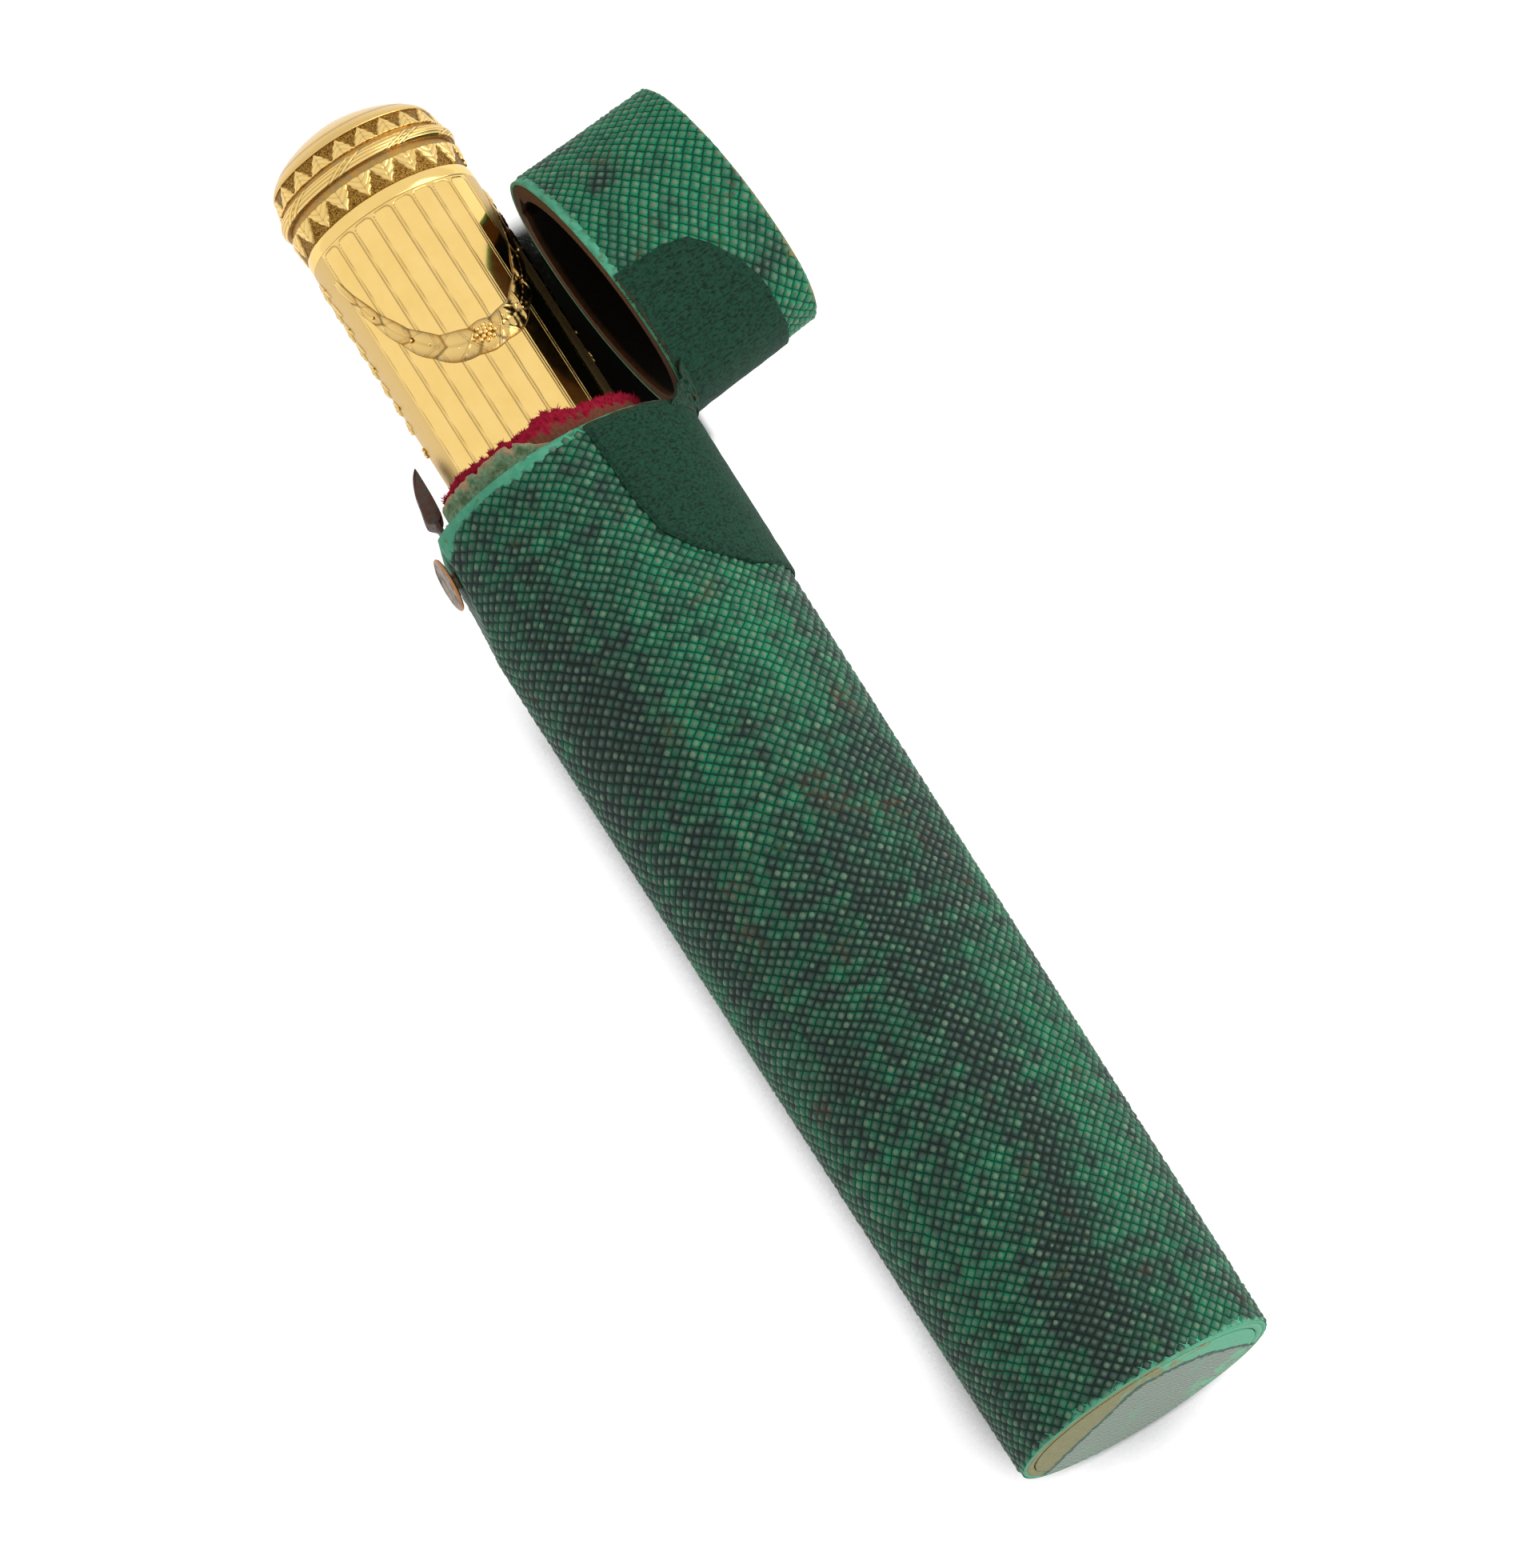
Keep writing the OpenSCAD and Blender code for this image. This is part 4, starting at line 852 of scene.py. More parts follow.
def flutedTube(name, low, high, top, shoulder, body, standsFor, bottomOpen=True):
    arcs = fluteColumns()
    steps = [np.linspace(low, low + 0.3, 3), np.arange(low + 1, top - 1.4, 1.2)]
    if high > top:
        steps += [np.linspace(top - 1.2, top - 0.62, 6), np.linspace(top - 0.58, top + 0.1, 16), [high]]
    else:
        steps += [[high - 0.3, high]]
    rows = np.unique(np.round(np.concatenate(steps), 4))
    a, y = np.meshgrid(arcs, rows)
    distance, q, pilaster = fluteDistance(a, y, top)
    width = (flute["width"] - flute["gap"]) / 2
    flat = np.where(distance < 0, -(width**2 - np.minimum(q**2, width**2)) / (2 * sideRadius), 0.0)
    bead = np.where(q > 0, 0.55 + 0.45 * np.sin(2 * math.pi * y / 0.36), 1.0)
    t = flat - flute["depth"] * np.exp(-((distance / flute["line"]) ** 2)) * np.where(pilaster, 0.3, 1.0)
    matt = np.where(pilaster & (distance > 0.12), 1.0, 0.25 * smooth(0.0, 0.1, distance))
    patinaAndPaintedShade = 0.8 * np.exp(-((distance / 0.075) ** 2)) * bead
    inner = [(-0.45, high - 0.5), (-0.45, low)]
    if shoulder:
        neckIn = head["in"]
        extra = [(neckIn, high)] + [(neckIn, y1) for y1 in np.linspace(high, shoulder, 24)[1:]]
        extra += [(neckIn - 0.3, shoulder), (neckIn - 0.45, high - 0.5)]
        inner = extra + inner
    tAll = np.concatenate([t, np.array([p[0] for p in inner])[:, None] + 0 * arcs[None, :]])
    yAll = np.concatenate([y, np.array([p[1] for p in inner])[:, None] + 0 * arcs[None, :]])
    cover = np.zeros_like(tAll)
    cover[: len(rows)] = patinaAndPaintedShade
    if shoulder:
        cover[len(rows): len(rows) + 24] = 0.8
    dull = np.zeros_like(tAll)
    dull[: len(rows)] = matt
    makePiece(name, ringPoints(arcs, tAll, yAll), [gridFaces(len(tAll), len(arcs), True, True)], body, gold,
              standsFor, {"patinaAndPaintedShade": cover, "matt": dull})


flutedTube("capFlutes", joint, head["fluteTop"], head["fluteTop"] - 0.25, head["upperBorder"][0][1] + 0.1, "cap", ["cap_tube"])
footFlutes = boxMm("etui_foot_band")[1][1] + 0.02
flutedTube("etuiFlutes", footFlutes, joint - 0.01, joint + 5, 0, "etui", ["etui_tube"])
footPlate = boxMm("etui_foot_plate")


# Ring with a relief: rows from low to high carry t = lerp of its two edges plus relief(arc, share), and
# the back of the ring is plain.
def reliefRing(name, y0, y1, t0, t1, back, relief, columns, rows, body, standsFor, crowning=0.0):
    arcs = np.linspace(0, wholeArc, columns, endpoint=False)
    share = np.linspace(0, 1, rows)[:, None]
    height, patinaAndPaintedShade, matt, punched = relief(arcs[None, :] + 0 * share, share + 0 * arcs[None, :])
    t = t0 + (t1 - t0) * share + crowning * np.sin(math.pi * share) + height
    y = y0 + (y1 - y0) * share + 0 * arcs[None, :]
    t = np.concatenate([t, np.full((2, columns), back)])
    y = np.concatenate([y, np.full((1, columns), y1), np.full((1, columns), y0)])
    blank = np.zeros((2, columns))
    makePiece(name, ringPoints(arcs, t, y), [gridFaces(rows + 2, columns, True, True)], body, gold, standsFor,
              {"patinaAndPaintedShade": np.concatenate([patinaAndPaintedShade, blank]), "matt": np.concatenate([matt, blank]),
               "punched": np.concatenate([punched, blank])})


def plainRelief(arc, share):
    return 0 * arc, 0 * arc, 0.15 + 0 * arc, 0 * arc


# Broad pointed leaves side by side, with their tips at share 1 or 0. A leaf narrows towards its tip with three
# lobes a side; curved veins and a midrib are cut into it, and the ground between leaves is punched.
def leafRelief(points):
    def relief(arc, share):
        pitch = wholeArc / head["leaves"]
        a = np.abs(2 * (np.mod(arc / pitch, 1) - 0.5))
        v = share if points > 0 else 1 - share
        lobes = 0.1 * np.abs(np.cos(v * math.pi * 3.2))
        edge = np.clip(1.1 - v / 0.95, 0, 1.1) ** 0.85 - 0.1 + lobes * smooth(0.97, 0.8, v)
        mask = smooth(-0.03, 0.09, edge - a)
        swell = 0.55 + 0.45 * np.cos(np.clip(a / np.maximum(edge, 0.15), 0, 1) * math.pi / 2)
        vein = np.abs(np.sin((v * 3.4 + a**1.5 * 1.9) * math.pi)) ** 0.5
        rib = np.exp(-((a / 0.06) ** 2)) * smooth(0.9, 0.6, v)
        height = mask * (0.27 * swell - 0.08 * (1 - vein) - 0.07 * rib)
        # rim darkens each leaf's border: painted shade along the leaf edges.
        rim = np.exp(-(((edge - a) / 0.07) ** 2))
        patinaAndPaintedShade = mask * (0.6 * (1 - vein) ** 1.5 + 0.4 * rib + 0.75 * rim)
        return height, np.clip(patinaAndPaintedShade, 0, 1), 0.25 + 0 * arc, 1 - mask
    return relief


# Four reeds run round the ring; slanting ribbons with two edge lines bind them in pairs.
def reedRelief(arc, share):
    reeds = np.abs(np.sin(share * math.pi * 4)) ** 0.7
    place = np.mod(arc / (wholeArc / 8) + share * 0.42, 1) - 0.5
    near = np.minimum(np.abs(place - 0.09), np.abs(place + 0.09))
    ribbon = smooth(0.05, 0.035, near)
    edge = np.exp(-(((near - 0.05) / 0.011) ** 2))
    height = 0.28 * np.sin(share * math.pi) ** 0.7 + 0.09 * reeds * (1 - ribbon) + 0.1 * ribbon - 0.09 * edge
    patinaAndPaintedShade = np.clip(0.95 * (1 - reeds) ** 1.2 * (1 - ribbon) + 0.9 * edge, 0, 1)
    # The darkening at both edges of the ring is painted shadow under its overhang.
    ends = np.minimum(share, 1 - share)
    return height, np.clip(patinaAndPaintedShade + 0.7 * smooth(0.06, 0.0, ends), 0, 1), 0.12 + 0 * arc, 0 * arc


def headMouldings():
    backing = head["in"] + 0.02
    reliefRing("capBand", head["fluteTop"], head["lowerBorder"][0][1], -0.12, -0.12, backing, plainRelief, 240, 9, "cap",
               ["cap_band"], 0.14)
    reliefRing("capLowerLeaves", head["lowerBorder"][0][1], head["lowerBorder"][1][1], -0.19, 0.02, backing,
               leafRelief(-1), head["leaves"] * 44, 40, "cap", ["cap_lower_border"])
    reliefRing("capReeds", head["ring"][0][1], head["ring"][1][1], 0.12, 0.12, backing, reedRelief, 800, 40, "cap",
               ["cap_reeded_ring"])
    reliefRing("capUpperLeaves", head["upperBorder"][0][1], head["upperBorder"][1][1], -0.2, -0.58, backing - 0.4,
               leafRelief(1), head["leaves"] * 44, 36, "cap", ["cap_upper_border"])


headMouldings()


# Dome: the section at share v of the rise is the base oval times (1 - v^p)^(1/p), with a flat rosette step.
def makeDome():
    low, high = head["dome"][0][1], head["dome"][1][1]
    power, columns, rows = 1.55, 200, 48
    v = np.sin(np.linspace(0, math.pi / 2, rows))
    shrink = (1 - v**power) ** (1 / power)
    shrink[-1] = 0.004
    arcs = np.linspace(0, wholeArc, columns, endpoint=False)
    baseOval = ovalPoint(normalAt(arcs), 0.0, -0.42)
    outer = baseOval[None] * shrink[:, None, None]
    lines = 0.05 * np.exp(-(((shrink - 0.34) / 0.02) ** 2)) - 0.05 * np.exp(-(((shrink - 0.9) / 0.012) ** 2))
    outer[..., 1] = (low + (high - low) * v + lines)[:, None]
    inner = baseOval[None] * 0.95 * shrink[::-1, None, None]
    inner[..., 1] = (low + (high - low - 0.45) * v[::-1])[:, None]
    points = np.concatenate([outer, inner])
    patinaAndPaintedShade = np.zeros((2 * rows, columns))
    patinaAndPaintedShade[:rows] = (0.18 + 0.5 * np.exp(-(((shrink - 0.9) / 0.02) ** 2)) + 0.4 * np.exp(-(((shrink - 0.3) / 0.02) ** 2)))[:, None]
    makePiece("capDome", points, [gridFaces(2 * rows, columns, True, True)], "cap", gold, ["cap_dome"],
              {"patinaAndPaintedShade": patinaAndPaintedShade, "matt": 0.55 + 0 * patinaAndPaintedShade})


makeDome()


# Small boss: a disc of rings turned about the etui's axis.
def makeBoss():
    low, high = boxMm("cap_boss")
    radius = high[0]
    share = np.linspace(0, 1, 24)
    r = radius * (1 - share)
    y = low[1] - 0.12 + (high[1] - low[1] + 0.12) * (np.sin(np.minimum(share * 2.4, math.pi / 2)) * 0.75
                                                   + 0.25 * np.abs(np.sin(share * math.pi * 2.5)) * (share < 0.8)
                                                   + 0.25 * (share >= 0.8))
    turn = np.linspace(0, 2 * math.pi, 48, endpoint=False)
    points = np.stack([r[:, None] * np.cos(turn), y[:, None] + 0 * turn, r[:, None] * np.sin(turn)], -1)
    patinaAndPaintedShade = 0.4 * np.abs(np.cos(share * math.pi * 2.5))[:, None] + 0 * turn
    base = np.arange(48)[None, ::-1]
    makePiece("capBoss", points, [gridFaces(24, 48, False, True), base], "cap", gold, ["cap_boss"],
              {"patinaAndPaintedShade": patinaAndPaintedShade, "matt": 0.2 + 0 * patinaAndPaintedShade})


makeBoss()
garland = {
    "top": head["fluteTop"] - 3.0, "sag": 14.4, "span": 10.8, "power": 2.6, "aside": -1.0,
    "endHalf": 0.45, "middleHalf": 1.85, "leafMm": 3.8, "height": 0.46,
    "berry": 0.27,
}


# Leaves laid on the gold: each starts at a root, points along its direction and is widest before its middle.
# It swells across, has a midrib and side veins, and its border goes down to the gold.
def leafSheets(rootArc, rootY, direction, length, halfWidth, lift, points=9, across=9):
    w = np.linspace(0, 1, points)[None, :, None]
    a = np.linspace(-1, 1, across)[None, None, :]
    width = halfWidth[:, None, None] * np.sin(math.pi * np.clip(w, 0.01, 0.99) ** 0.72) ** 0.8
    goes = length[:, None, None] * w
    bend = 0.35 * halfWidth[:, None, None] * np.sin(w * math.pi)
    turn = direction[:, None, None]
    s = rootArc[:, None, None] + goes * np.cos(turn) - (a * width + bend) * np.sin(turn)
    y = rootY[:, None, None] + goes * np.sin(turn) + (a * width + bend) * np.cos(turn)
    body = np.sin(math.pi * np.clip(w, 0, 1)) ** 0.5 * np.clip(1 - np.abs(a) ** 3, 0, 1)
    vein = 0.035 * np.sin((w * 5 - np.abs(a) * 1.5) * 2 * math.pi)
    t = (lift[:, None, None] + 0.16 * np.clip(1 - a**2, 0, 1) + vein - 0.09 * np.exp(-((a / 0.16) ** 2))) * body
    top = ovalPoint(normalAt(s), y, np.clip(t, 0.0, 0.8))
    under = ovalPoint(normalAt(s), y, -0.05 + 0 * t)
    patinaAndPaintedShade = np.clip(0.45 * np.exp(-((a / 0.14) ** 2)) + 0.5 * np.abs(a) ** 6 + 4 * np.maximum(-vein, 0) + 0 * t, 0, 1)
    return top, under, patinaAndPaintedShade


def laurel(name, body, standsFor, rootArc, rootY, direction, length, halfWidth, lift, berries):
    top, under, patinaAndPaintedShade = leafSheets(*(np.asarray(v, float) for v in (rootArc, rootY, direction, length, halfWidth, lift)))
    count, rows, columns = top.shape[:3]
    points = np.stack([top, under], 1).reshape(-1, 3)
    values = np.stack([patinaAndPaintedShade, patinaAndPaintedShade * 0 + 0.3], 1).ravel()
    faces = [np.concatenate([f + k * 2 * rows * columns for k in range(count)]) for f in plateFaces(rows, columns)]
    balls, ballFaces, ballPatina = berryBalls(berries)
    faces.append(ballFaces + len(points))
    points = np.concatenate([points, balls])
    values = np.concatenate([values, ballPatina])
    makePiece(name, points, faces, body, gold, standsFor, {"patinaAndPaintedShade": values, "matt": np.full(len(points), 0.3)})


# The swag hangs between the pilasters, place = (span u, top - sag (1 - |u|^power)). It is a ribbon of
# overlapping leaves that point to its middle: height = (1 - |a|^3)^(1/2) times a body that steps down at each
# leaf's tip, with a midrib, slanting veins and two thin bands that cross in lozenges.
def swagY(u):
    return garland["top"] - garland["sag"] * (1 - np.abs(u) ** garland["power"])


def swagSheets(middle):
    rows, columns = 340, 27
    u = np.linspace(-1, 1, rows)
    u = np.sign(u) * np.abs(u) ** 0.9
    x, y = garland["span"] * u, swagY(u)
    along = np.concatenate([[0], np.cumsum(np.hypot(np.diff(x), np.diff(y)))])
    along -= along[-1] / 2
    way = np.stack([np.gradient(x), np.gradient(y)], -1)
    way /= np.linalg.norm(way, axis=1, keepdims=True)
    a = np.linspace(-1, 1, columns)[None, :]
    reach = np.abs(along)[:, None]
    grow = smooth(1.02, 0.0, np.abs(u))[:, None] ** 0.75
    step = np.mod((along[-1] - reach) / garland["leafMm"] + 0.28 * np.abs(a), 1)
    half = (garland["endHalf"] + (garland["middleHalf"] - garland["endHalf"]) * grow) * (
        0.86 + 0.14 * np.sin(math.pi * np.mod((along[-1] - reach) / garland["leafMm"] + 0.28, 1)))
    body = np.clip(1 - np.abs(a) ** 4, 0, 1) ** 0.5
    rib = np.exp(-((a / 0.1) ** 2))
    veins = np.sin((reach / 0.75 + 1.1 * np.abs(a)) * 2 * math.pi)
    lozenge = np.minimum(np.abs(np.mod(along[:, None] / 3.4 + 0.35 * a, 1) - 0.5),
                         np.abs(np.mod(along[:, None] / 3.4 - 0.35 * a, 1) - 0.5))
    band = np.exp(-((lozenge / 0.035) ** 2)) * smooth(0.95, 0.8, np.abs(u))[:, None]
    wave = np.sin(math.pi * step) ** 0.6
    high = garland["height"] * (0.35 + 0.65 * grow)
    t = body * (high * (0.36 + 0.5 * wave) + 0.02 * veins * grow - 0.07 * rib + 0.13 * band
                + 0.1 * grow * drift(along[:, None], 2 * a, 1.6, 145))
    ends = smooth(1.0, 0.97, np.abs(u))[:, None]
    s = middle + x[:, None] - a * half * way[:, 1:2]
    place = y[:, None] + a * half * way[:, :1]
    top = ovalPoint(normalAt(s), place, np.clip(t * ends, 0.0, 0.58))
    under = ovalPoint(normalAt(s), place, -0.05 + 0 * t)
    # The dark line at each leaf's tip, the darker borders and the gradient across each leaf are painted shade of the
    # overlapping leaves; the midrib and the bands' edge lines carry patina.
    patinaAndPaintedShade = np.clip(0.8 * smooth(0.08, 0.0, np.minimum(step, 1 - step)) + np.abs(a) ** 5 + 0.25 * rib + 0.25 * step
                     + 0.5 * (band > 0.08) * (band < 0.5), 0, 1)
    return np.stack([top, under]), np.stack([patinaAndPaintedShade, patinaAndPaintedShade * 0])


# Berries are small balls set into the gold: each row of the table is (arc, y, radius, t).
def berryBalls(berries):
    ball = np.array(berries)
    up, turn = np.linspace(-math.pi / 2, math.pi / 2, 9)[:, None], np.linspace(0, 2 * math.pi, 14, endpoint=False)[None, :]
    shape = np.stack([np.cos(up) * np.cos(turn), np.cos(up) * np.sin(turn), np.sin(up) + 0 * turn], -1)
    s = ball[:, 0][:, None, None] + ball[:, 2][:, None, None] * shape[None, ..., 0]
    y = ball[:, 1][:, None, None] + ball[:, 2][:, None, None] * shape[None, ..., 1]
    t = ball[:, 3][:, None, None] + ball[:, 2][:, None, None] * shape[None, ..., 2]
    points = ovalPoint(normalAt(s), y, np.minimum(t, 0.84)).reshape(-1, 3)
    patinaAndPaintedShade = np.broadcast_to(0.6 * (1 - smooth(-0.3, 0.5, shape[..., 2])), s.shape).ravel()
    faces = gridFaces(9, 14, False, True)[:, ::-1]
    return points, np.concatenate([faces + k * 9 * 14 for k in range(len(ball))]), patinaAndPaintedShade


def makeGarland(name, face, standsFor):
    middle = face * wholeArc / 4 + garland["aside"] * (2 - face)
    points, patinaAndPaintedShade = swagSheets(middle)
    rows, columns = points.shape[1:3]
    faces = [f[:, ::-1] for f in plateFaces(rows, columns)]
    berries = []
    for k, u in enumerate((-0.8, -0.62, -0.42, -0.25, 0.3, 0.46, 0.63, 0.8)):
        y = swagY(u)
        side = 0.9 if k % 2 else -0.9
        berries.append([middle + u * garland["span"] + 0.25 * side, y + side * 0.5, 0.17, 0.3])
    for ring, number in ((0.0, 1), (0.5, 5), (0.95, 8)):
        for k in range(number):
            turn = 2 * math.pi * k / number + ring
            berries.append([middle + ring * math.cos(turn), swagY(0.0) + 0.2 + ring * 0.9 * math.sin(turn),
                            garland["berry"], 0.44 - 0.14 * ring])
    balls, ballFaces, ballPatina = berryBalls(berries)
    first = points.size // 3
    points = np.concatenate([points.reshape(-1, 3), balls])
    makePiece(name, points, faces + [ballFaces + first], "cap", gold, standsFor,
              {"patinaAndPaintedShade": np.concatenate([patinaAndPaintedShade.ravel(), ballPatina]), "matt": np.full(len(points), 0.4)})


# A drop hangs straight down each pilaster: pairs of leaves that get smaller, a bead between them.
def makeDrop(name, side, standsFor):
    roots, berries = [], []
    arc = side * wholeArc / 4
    for k in range(8):
        y = head["fluteTop"] - 0.9 - k * 2.45
        size = 1 - 0.06 * k
        for lean in (0.5, -0.5):
            roots.append([arc, y, -math.pi / 2 + lean, 2.9 * size, 0.55 * size, 0.08])
        roots.append([arc, y - 0.2, -math.pi / 2, 2.9 * size, 0.5 * size, 0.14])
        berries.append([arc + 0.75 * (1 if k % 2 else -1), y - 1.3, 0.17, 0.12])
    for dx, dy in ((0, 0), (0.35, -0.4), (-0.35, -0.4), (0, -0.8)):
        berries.append([arc + dx, head["fluteTop"] - 21.7 + dy, 0.2, 0.12])
    laurel(name, "cap", standsFor, *np.array(roots).T, berries)


makeGarland("garlandUpper", 1, ["garland_front"])
makeGarland("garlandUnder", 3, ["garland_back"])
makeDrop("dropCatchSide", 2, ["drop_left"])
makeDrop("dropHingeSide", 0, ["drop_right"])

print("leather hinge")
patch = {"edgeX": 3.5, "caseDepth": 20.3, "lidDepth": 12.5, "thick": 0.35}
patchShape = np.array([[0, 0.0], [0.3, 0.33], [0.4, 0.46], [1.1, 0.66], [3.1, 0.8], [5.2, 0.89], [7.9, 0.98], [11.29, 1.0]])


# Arc from the hinge side to a place x across, on the oval t outside the etui's, in arc of the etui's oval.
def arcAtX(x, t):
    endReach = endCentre + (oval["endRadius"] + t) * math.cos(endAngle)
    onEnd = np.arccos(np.clip((x - endCentre) / (oval["endRadius"] + t), -1, 1))
    onSide = np.arccos(np.clip(x / (sideRadius + t), -1, 1))
    normal = np.where(x > endReach, onEnd, onSide)
    return np.where(normal < endAngle, normal * oval["endRadius"],
                    endAngle * oval["endRadius"] + (normal - endAngle) * sideRadius)


# Patch glued to a skin: its border follows the outline, a little ragged, and is pressed down to the skin.
def makePatch(name, depth, outOf, sign, body, standsFor, swung, seed):
    rows, columns = 70, 150
    share = np.linspace(0, 1, rows)
    x = patch["edgeX"] + np.interp(share, patchShape[:, 1], patchShape[:, 0])
    edge = arcAtX(x, caseSkin["out"] + patch["thick"]) + 0.06 * drift(share * depth, 0, 1.5, seed)
    v = np.linspace(-1, 1, columns)
    v = np.sign(v) * (1 - (1 - np.abs(v)) ** 1.3)
    y = mouth + sign * share * depth
    torn = 0.10 * drift(v * 14, 0, 1.1, seed + 1) + 0.12 * drift(v * 14, 0, 3.0, seed + 2)
    yGrid = y[:, None] + sign * (0.25 + torn[None, :]) * (1 - smooth(0.0, 0.12, share))[:, None]
    arcs = edge[:, None] * v[None, :]
    rim = np.minimum(np.minimum(1 - np.abs(v)[None, :] + 0 * share[:, None], 6 * (1 - share)[:, None]), 5 * share[:, None] + 0.02)
    pressed = 0.22 * (1 - smooth(0.0, 0.035, rim))
    lumps = 0.05 * drift(arcs, yGrid, 2.2, seed + 3)
    out = outOf(np.clip(yGrid, 0, lidEnd))
    clear = 0.12 * np.exp(-(arcs / 4) ** 2) * np.exp(-((yGrid - mouth) / 0.6) ** 2)
    t = out + patch["thick"] - 0.04 - pressed + np.minimum(lumps, 0.04) - clear
    normal = normalAt(arcs)
    top, under = ovalPoint(normal, yGrid, t), ovalPoint(normal, yGrid, out - 0.12)
    worn = (1 - smooth(0.0, 0.03, share))[:, None] * (0.5 + 0.5 * drift(v[None, :] * 14, 0, 1.5, seed + 4))
    points = np.stack([top, under])
    faces = plateFaces(rows, columns)
    if sign < 0:
        faces = [f[:, ::-1] for f in faces]
    makePiece(name, swing(points) if swung else points, faces, body, leather, standsFor,
              {"worn": np.stack([worn + 0 * v, worn + 0 * v])})


makePatch("hingePatchCase", patch["caseDepth"], caseOut, -1, "case", ["hinge_patch_case"], False, 121)
makePatch("hingePatchLid", patch["lidDepth"], lidOut, 1, "lid", ["hinge_patch_lid"], True, 131)


# Frayed fibres along the edge of the lid's patch: thin blades that lean out over the lid's mouth.
def makeFray():
    fray = np.random.default_rng(147)
    count = 420
    arc = fray.uniform(-1, 1, count) * arcAtX(patch["edgeX"] + 0.4, caseSkin["out"])
    length = fray.uniform(0.15, 0.6, count) * (0.6 + 0.8 * smooth(-0.4, 0.4, drift(arc, 0, 3.0, 148)))
    lean = fray.normal(0, 0.35, count)
    along = np.array([0.0, 0.0, 1.0])
    s = arc[:, None] + np.array([-0.07, 0.07, 0.0]) + lean[:, None] * length[:, None] * along
    y = mouth + 0.35 + fray.uniform(0, 0.3, count)[:, None] - length[:, None] * along
    t = caseSkin["out"] + patch["thick"] - fray.uniform(0.05, 0.2, count)[:, None] - 0.25 * length[:, None] * along
    first = 3 * np.arange(count)[:, None]
    makePiece("hingeFray", swing(ovalPoint(normalAt(s), y, t)), [first + np.array([[0, 1, 2]])], "lid", leather, (),
              {"worn": np.repeat(fray.uniform(0, 0.5, count), 3)})


makeFray()


# Fold between the patches: for each place round the mouth, a curve from the case's patch to the lid's whose
# middle lies at the hinge's line.
def makeFold():
    columns, rows = 81, 25
    arcs = np.linspace(-4.2, 4.2, columns)
    normal = normalAt(arcs)
    w = np.linspace(0, 1, rows)[:, None, None]
    sheets = []
    for inset in (0.04, 0.3):
        ragged = 0.15 * drift(arcs, 0, 1.2, 141)
        start = ovalPoint(normal, mouth - 1.1 + ragged, caseSkin["out"] + patch["thick"] - inset)
        end = swing(ovalPoint(normal, mouth + 1.1 - ragged, caseSkin["out"] + patch["thick"] - inset))
        middle = (start + end) / 2
        middle[:, 0] = middle[:, 0] * 0.25 + (hinge[0] - inset) * 0.75
        middle[:, 1] = middle[:, 1] * 0.25 + (hinge[1] + 0.1) * 0.75
        sheet = (1 - w) ** 2 * start + 2 * w * (1 - w) * middle + w**2 * end
        for axis, seed in ((0, 143), (1, 144)):
            sheet[..., axis] += 0.5 * np.sin(math.pi * w[..., 0]) * drift(arcs[None, :], 5 * w[..., 0], 1.3, seed)
        sheets.append(sheet)
    points = np.stack(sheets)
    fold = makePiece("hingeFold", points, plateFaces(rows, columns), None, leather, ["hinge_roll"],
                     {"worn": smooth(0.1, 0.5, drift(arcs[None, None, :], 6 * w[None, ..., 0], 1.5, 146)) * 0.6 + np.zeros(points.shape[:3])})
    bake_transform(fold)


makeFold()

print("catch and button")
springBox = boxMm("catch_spring")
hook = {"outline": [(-12.2, 2.6), (-12.62, 2.6), (-12.8, 2.8), (-13.3, 3.35), (-13.3, 3.95), (-12.98, 5.4), (-12.72, 6.7),
                    (-12.1, 8.1), (-11.36, 8.86), (-11.3, 7.6), (-11.34, 5.6), (-11.45, 4.0), (-11.6, 3.2)],
        "bevel": 0.14}


# Prism of an outline in the X-Y plane through Z, whose rows near the two flat sides are drawn in to round it.
def roundedPrism(outline, halfThick, bevel, closer):
    ring = np.array(outline)
    dense = []
    for k in range(len(ring)):
        p0, p1, p2, p3 = ring[k - 1], ring[k], ring[(k + 1) % len(ring)], ring[(k + 2) % len(ring)]
        for s in np.linspace(0, 1, 8, endpoint=False):
            dense.append(0.5 * (2 * p1 + (p2 - p0) * s + (2 * p0 - 5 * p1 + 4 * p2 - p3) * s**2
                                + (3 * p1 - p0 - 3 * p2 + p3) * s**3) * closer + (p1 * (1 - s) + p2 * s) * (1 - closer))
    ring = np.array(dense)
    ahead, behind = np.roll(ring, -1, 0), np.roll(ring, 1, 0)
    way = ahead - behind
    way /= np.linalg.norm(way, axis=1, keepdims=True)
    outward = np.stack([way[:, 1], -way[:, 0]], -1)
    area = 0.5 * np.sum(ring[:, 0] * ahead[:, 1] - ahead[:, 0] * ring[:, 1])
    outward *= np.sign(area)
    layers = []
    for turn in np.linspace(0, math.pi, 13):
        drawn = bevel * (1 - math.sin(turn) ** 0.4) if 0 < turn < math.pi else bevel
        z = -halfThick * math.cos(turn) if abs(math.cos(turn)) < 0.999 else -halfThick * math.copysign(1, math.cos(turn))
        inset = ring - outward * drawn
        layers.append(np.column_stack([inset, np.full(len(ring), z)]))
    points = np.array(layers)
    return points, np.sign(area)


